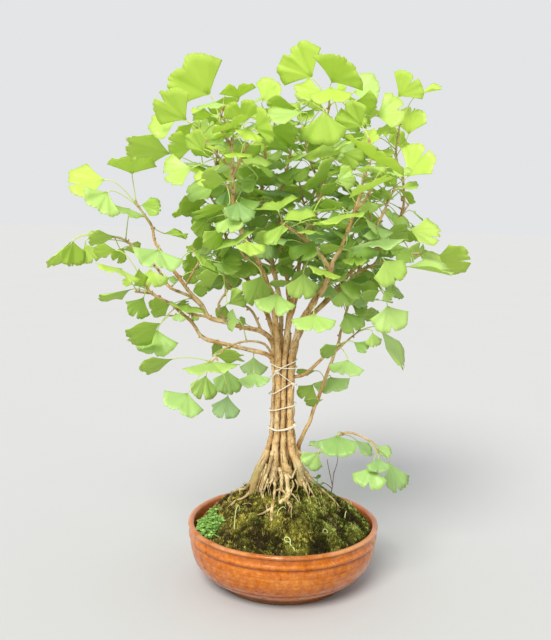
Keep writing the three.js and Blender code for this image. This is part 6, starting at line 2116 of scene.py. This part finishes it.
seedling_patch().piece("seedling_patch", [SPROUT], "seedling", ["seedlings"], "leaf_tint")
pale_shoots().piece("pale_shoots", [SHOOT], "seedling", (), "leaf_tint")
round_leaf_weed().piece("round_leaf_weed", [SPROUT], "seedling", (), "leaf_tint")
dry_twig().piece("dry_twig", [DEAD_TWIG], "dead_twig", ["dry_sprig"])

for name in ("soil", "drain_screen_1", "drain_screen_2", "drain_screen_3"):
    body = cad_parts[name]
    body.data.materials.clear()
    body.data.materials.append(EARTH if name == "soil" else SCREEN)


# ---------- floor, light, view
def floor_paint(s):
    colour = s.cloud(3.0, 4.0).mixed((0.52, 0.52, 0.515), (0.54, 0.54, 0.535))
    return s.surface(colour, 0.85, Specular_IOR_Level=0.2)


def lay_floor():
    mesh = bpy.data.meshes.new("floor")
    half = 12.0
    corners = [(-half, -half, 0), (half, -half, 0), (half, half, 0), (-half, half, 0)]
    mesh.from_pydata(corners, [], [(0, 1, 2, 3)])
    mesh.materials.append(material("pale_floor", floor_paint))
    floor = show("floor", mesh)
    floor.location.z = -0.0005


def soft_sun():
    """A broad key light from the upper left, as soft as a bright overcast sky."""
    lamp = bpy.data.lights.new("soft_key", "SUN")
    lamp.energy = 3.2
    lamp.angle = math.radians(26)
    lamp.color = (1.0, 0.985, 0.95)
    made = show("soft_key", lamp)
    made.location = (-0.6, -1.2, 2.0)
    aim = Vector((0.35, 1.05, -1.10))
    made.rotation_euler = aim.to_track_quat("-Z", "Y").to_euler()


def set_world():
    world = bpy.data.worlds.new("studio")
    world.use_nodes = True
    sky = world.node_tree.nodes["Background"]
    sky.inputs["Color"].default_value = (0.96, 0.98, 1.0, 1)
    sky.inputs["Strength"].default_value = 0.80
    bpy.context.scene.world = world


def set_camera():
    pitch, yaw, roll = math.radians(8.25), math.radians(-0.795), math.radians(1.2)
    ahead = np.array([
        math.sin(yaw) * math.cos(pitch), math.cos(yaw) * math.cos(pitch), -math.sin(pitch)])
    right = np.array([math.cos(yaw), -math.sin(yaw), 0.0])
    top = np.cross(right, ahead)
    across = math.cos(roll) * right + math.sin(roll) * top
    up = math.cos(roll) * top - math.sin(roll) * right
    lens = bpy.data.cameras.new("camera")
    lens.lens = 49.34
    lens.sensor_fit = "AUTO"
    lens.sensor_width = 36
    lens.clip_start = 0.05
    camera = show("camera", lens)
    turn = np.eye(4)
    turn[:3, 0], turn[:3, 1], turn[:3, 2] = across, up, -ahead
    turn[:3, 3] = EYE * MM
    camera.matrix_world = Matrix(turn.tolist())
    bpy.context.scene.camera = camera


lay_floor()
set_world()
soft_sun()
set_camera()
bpy.context.scene.view_settings.view_transform = "Standard"
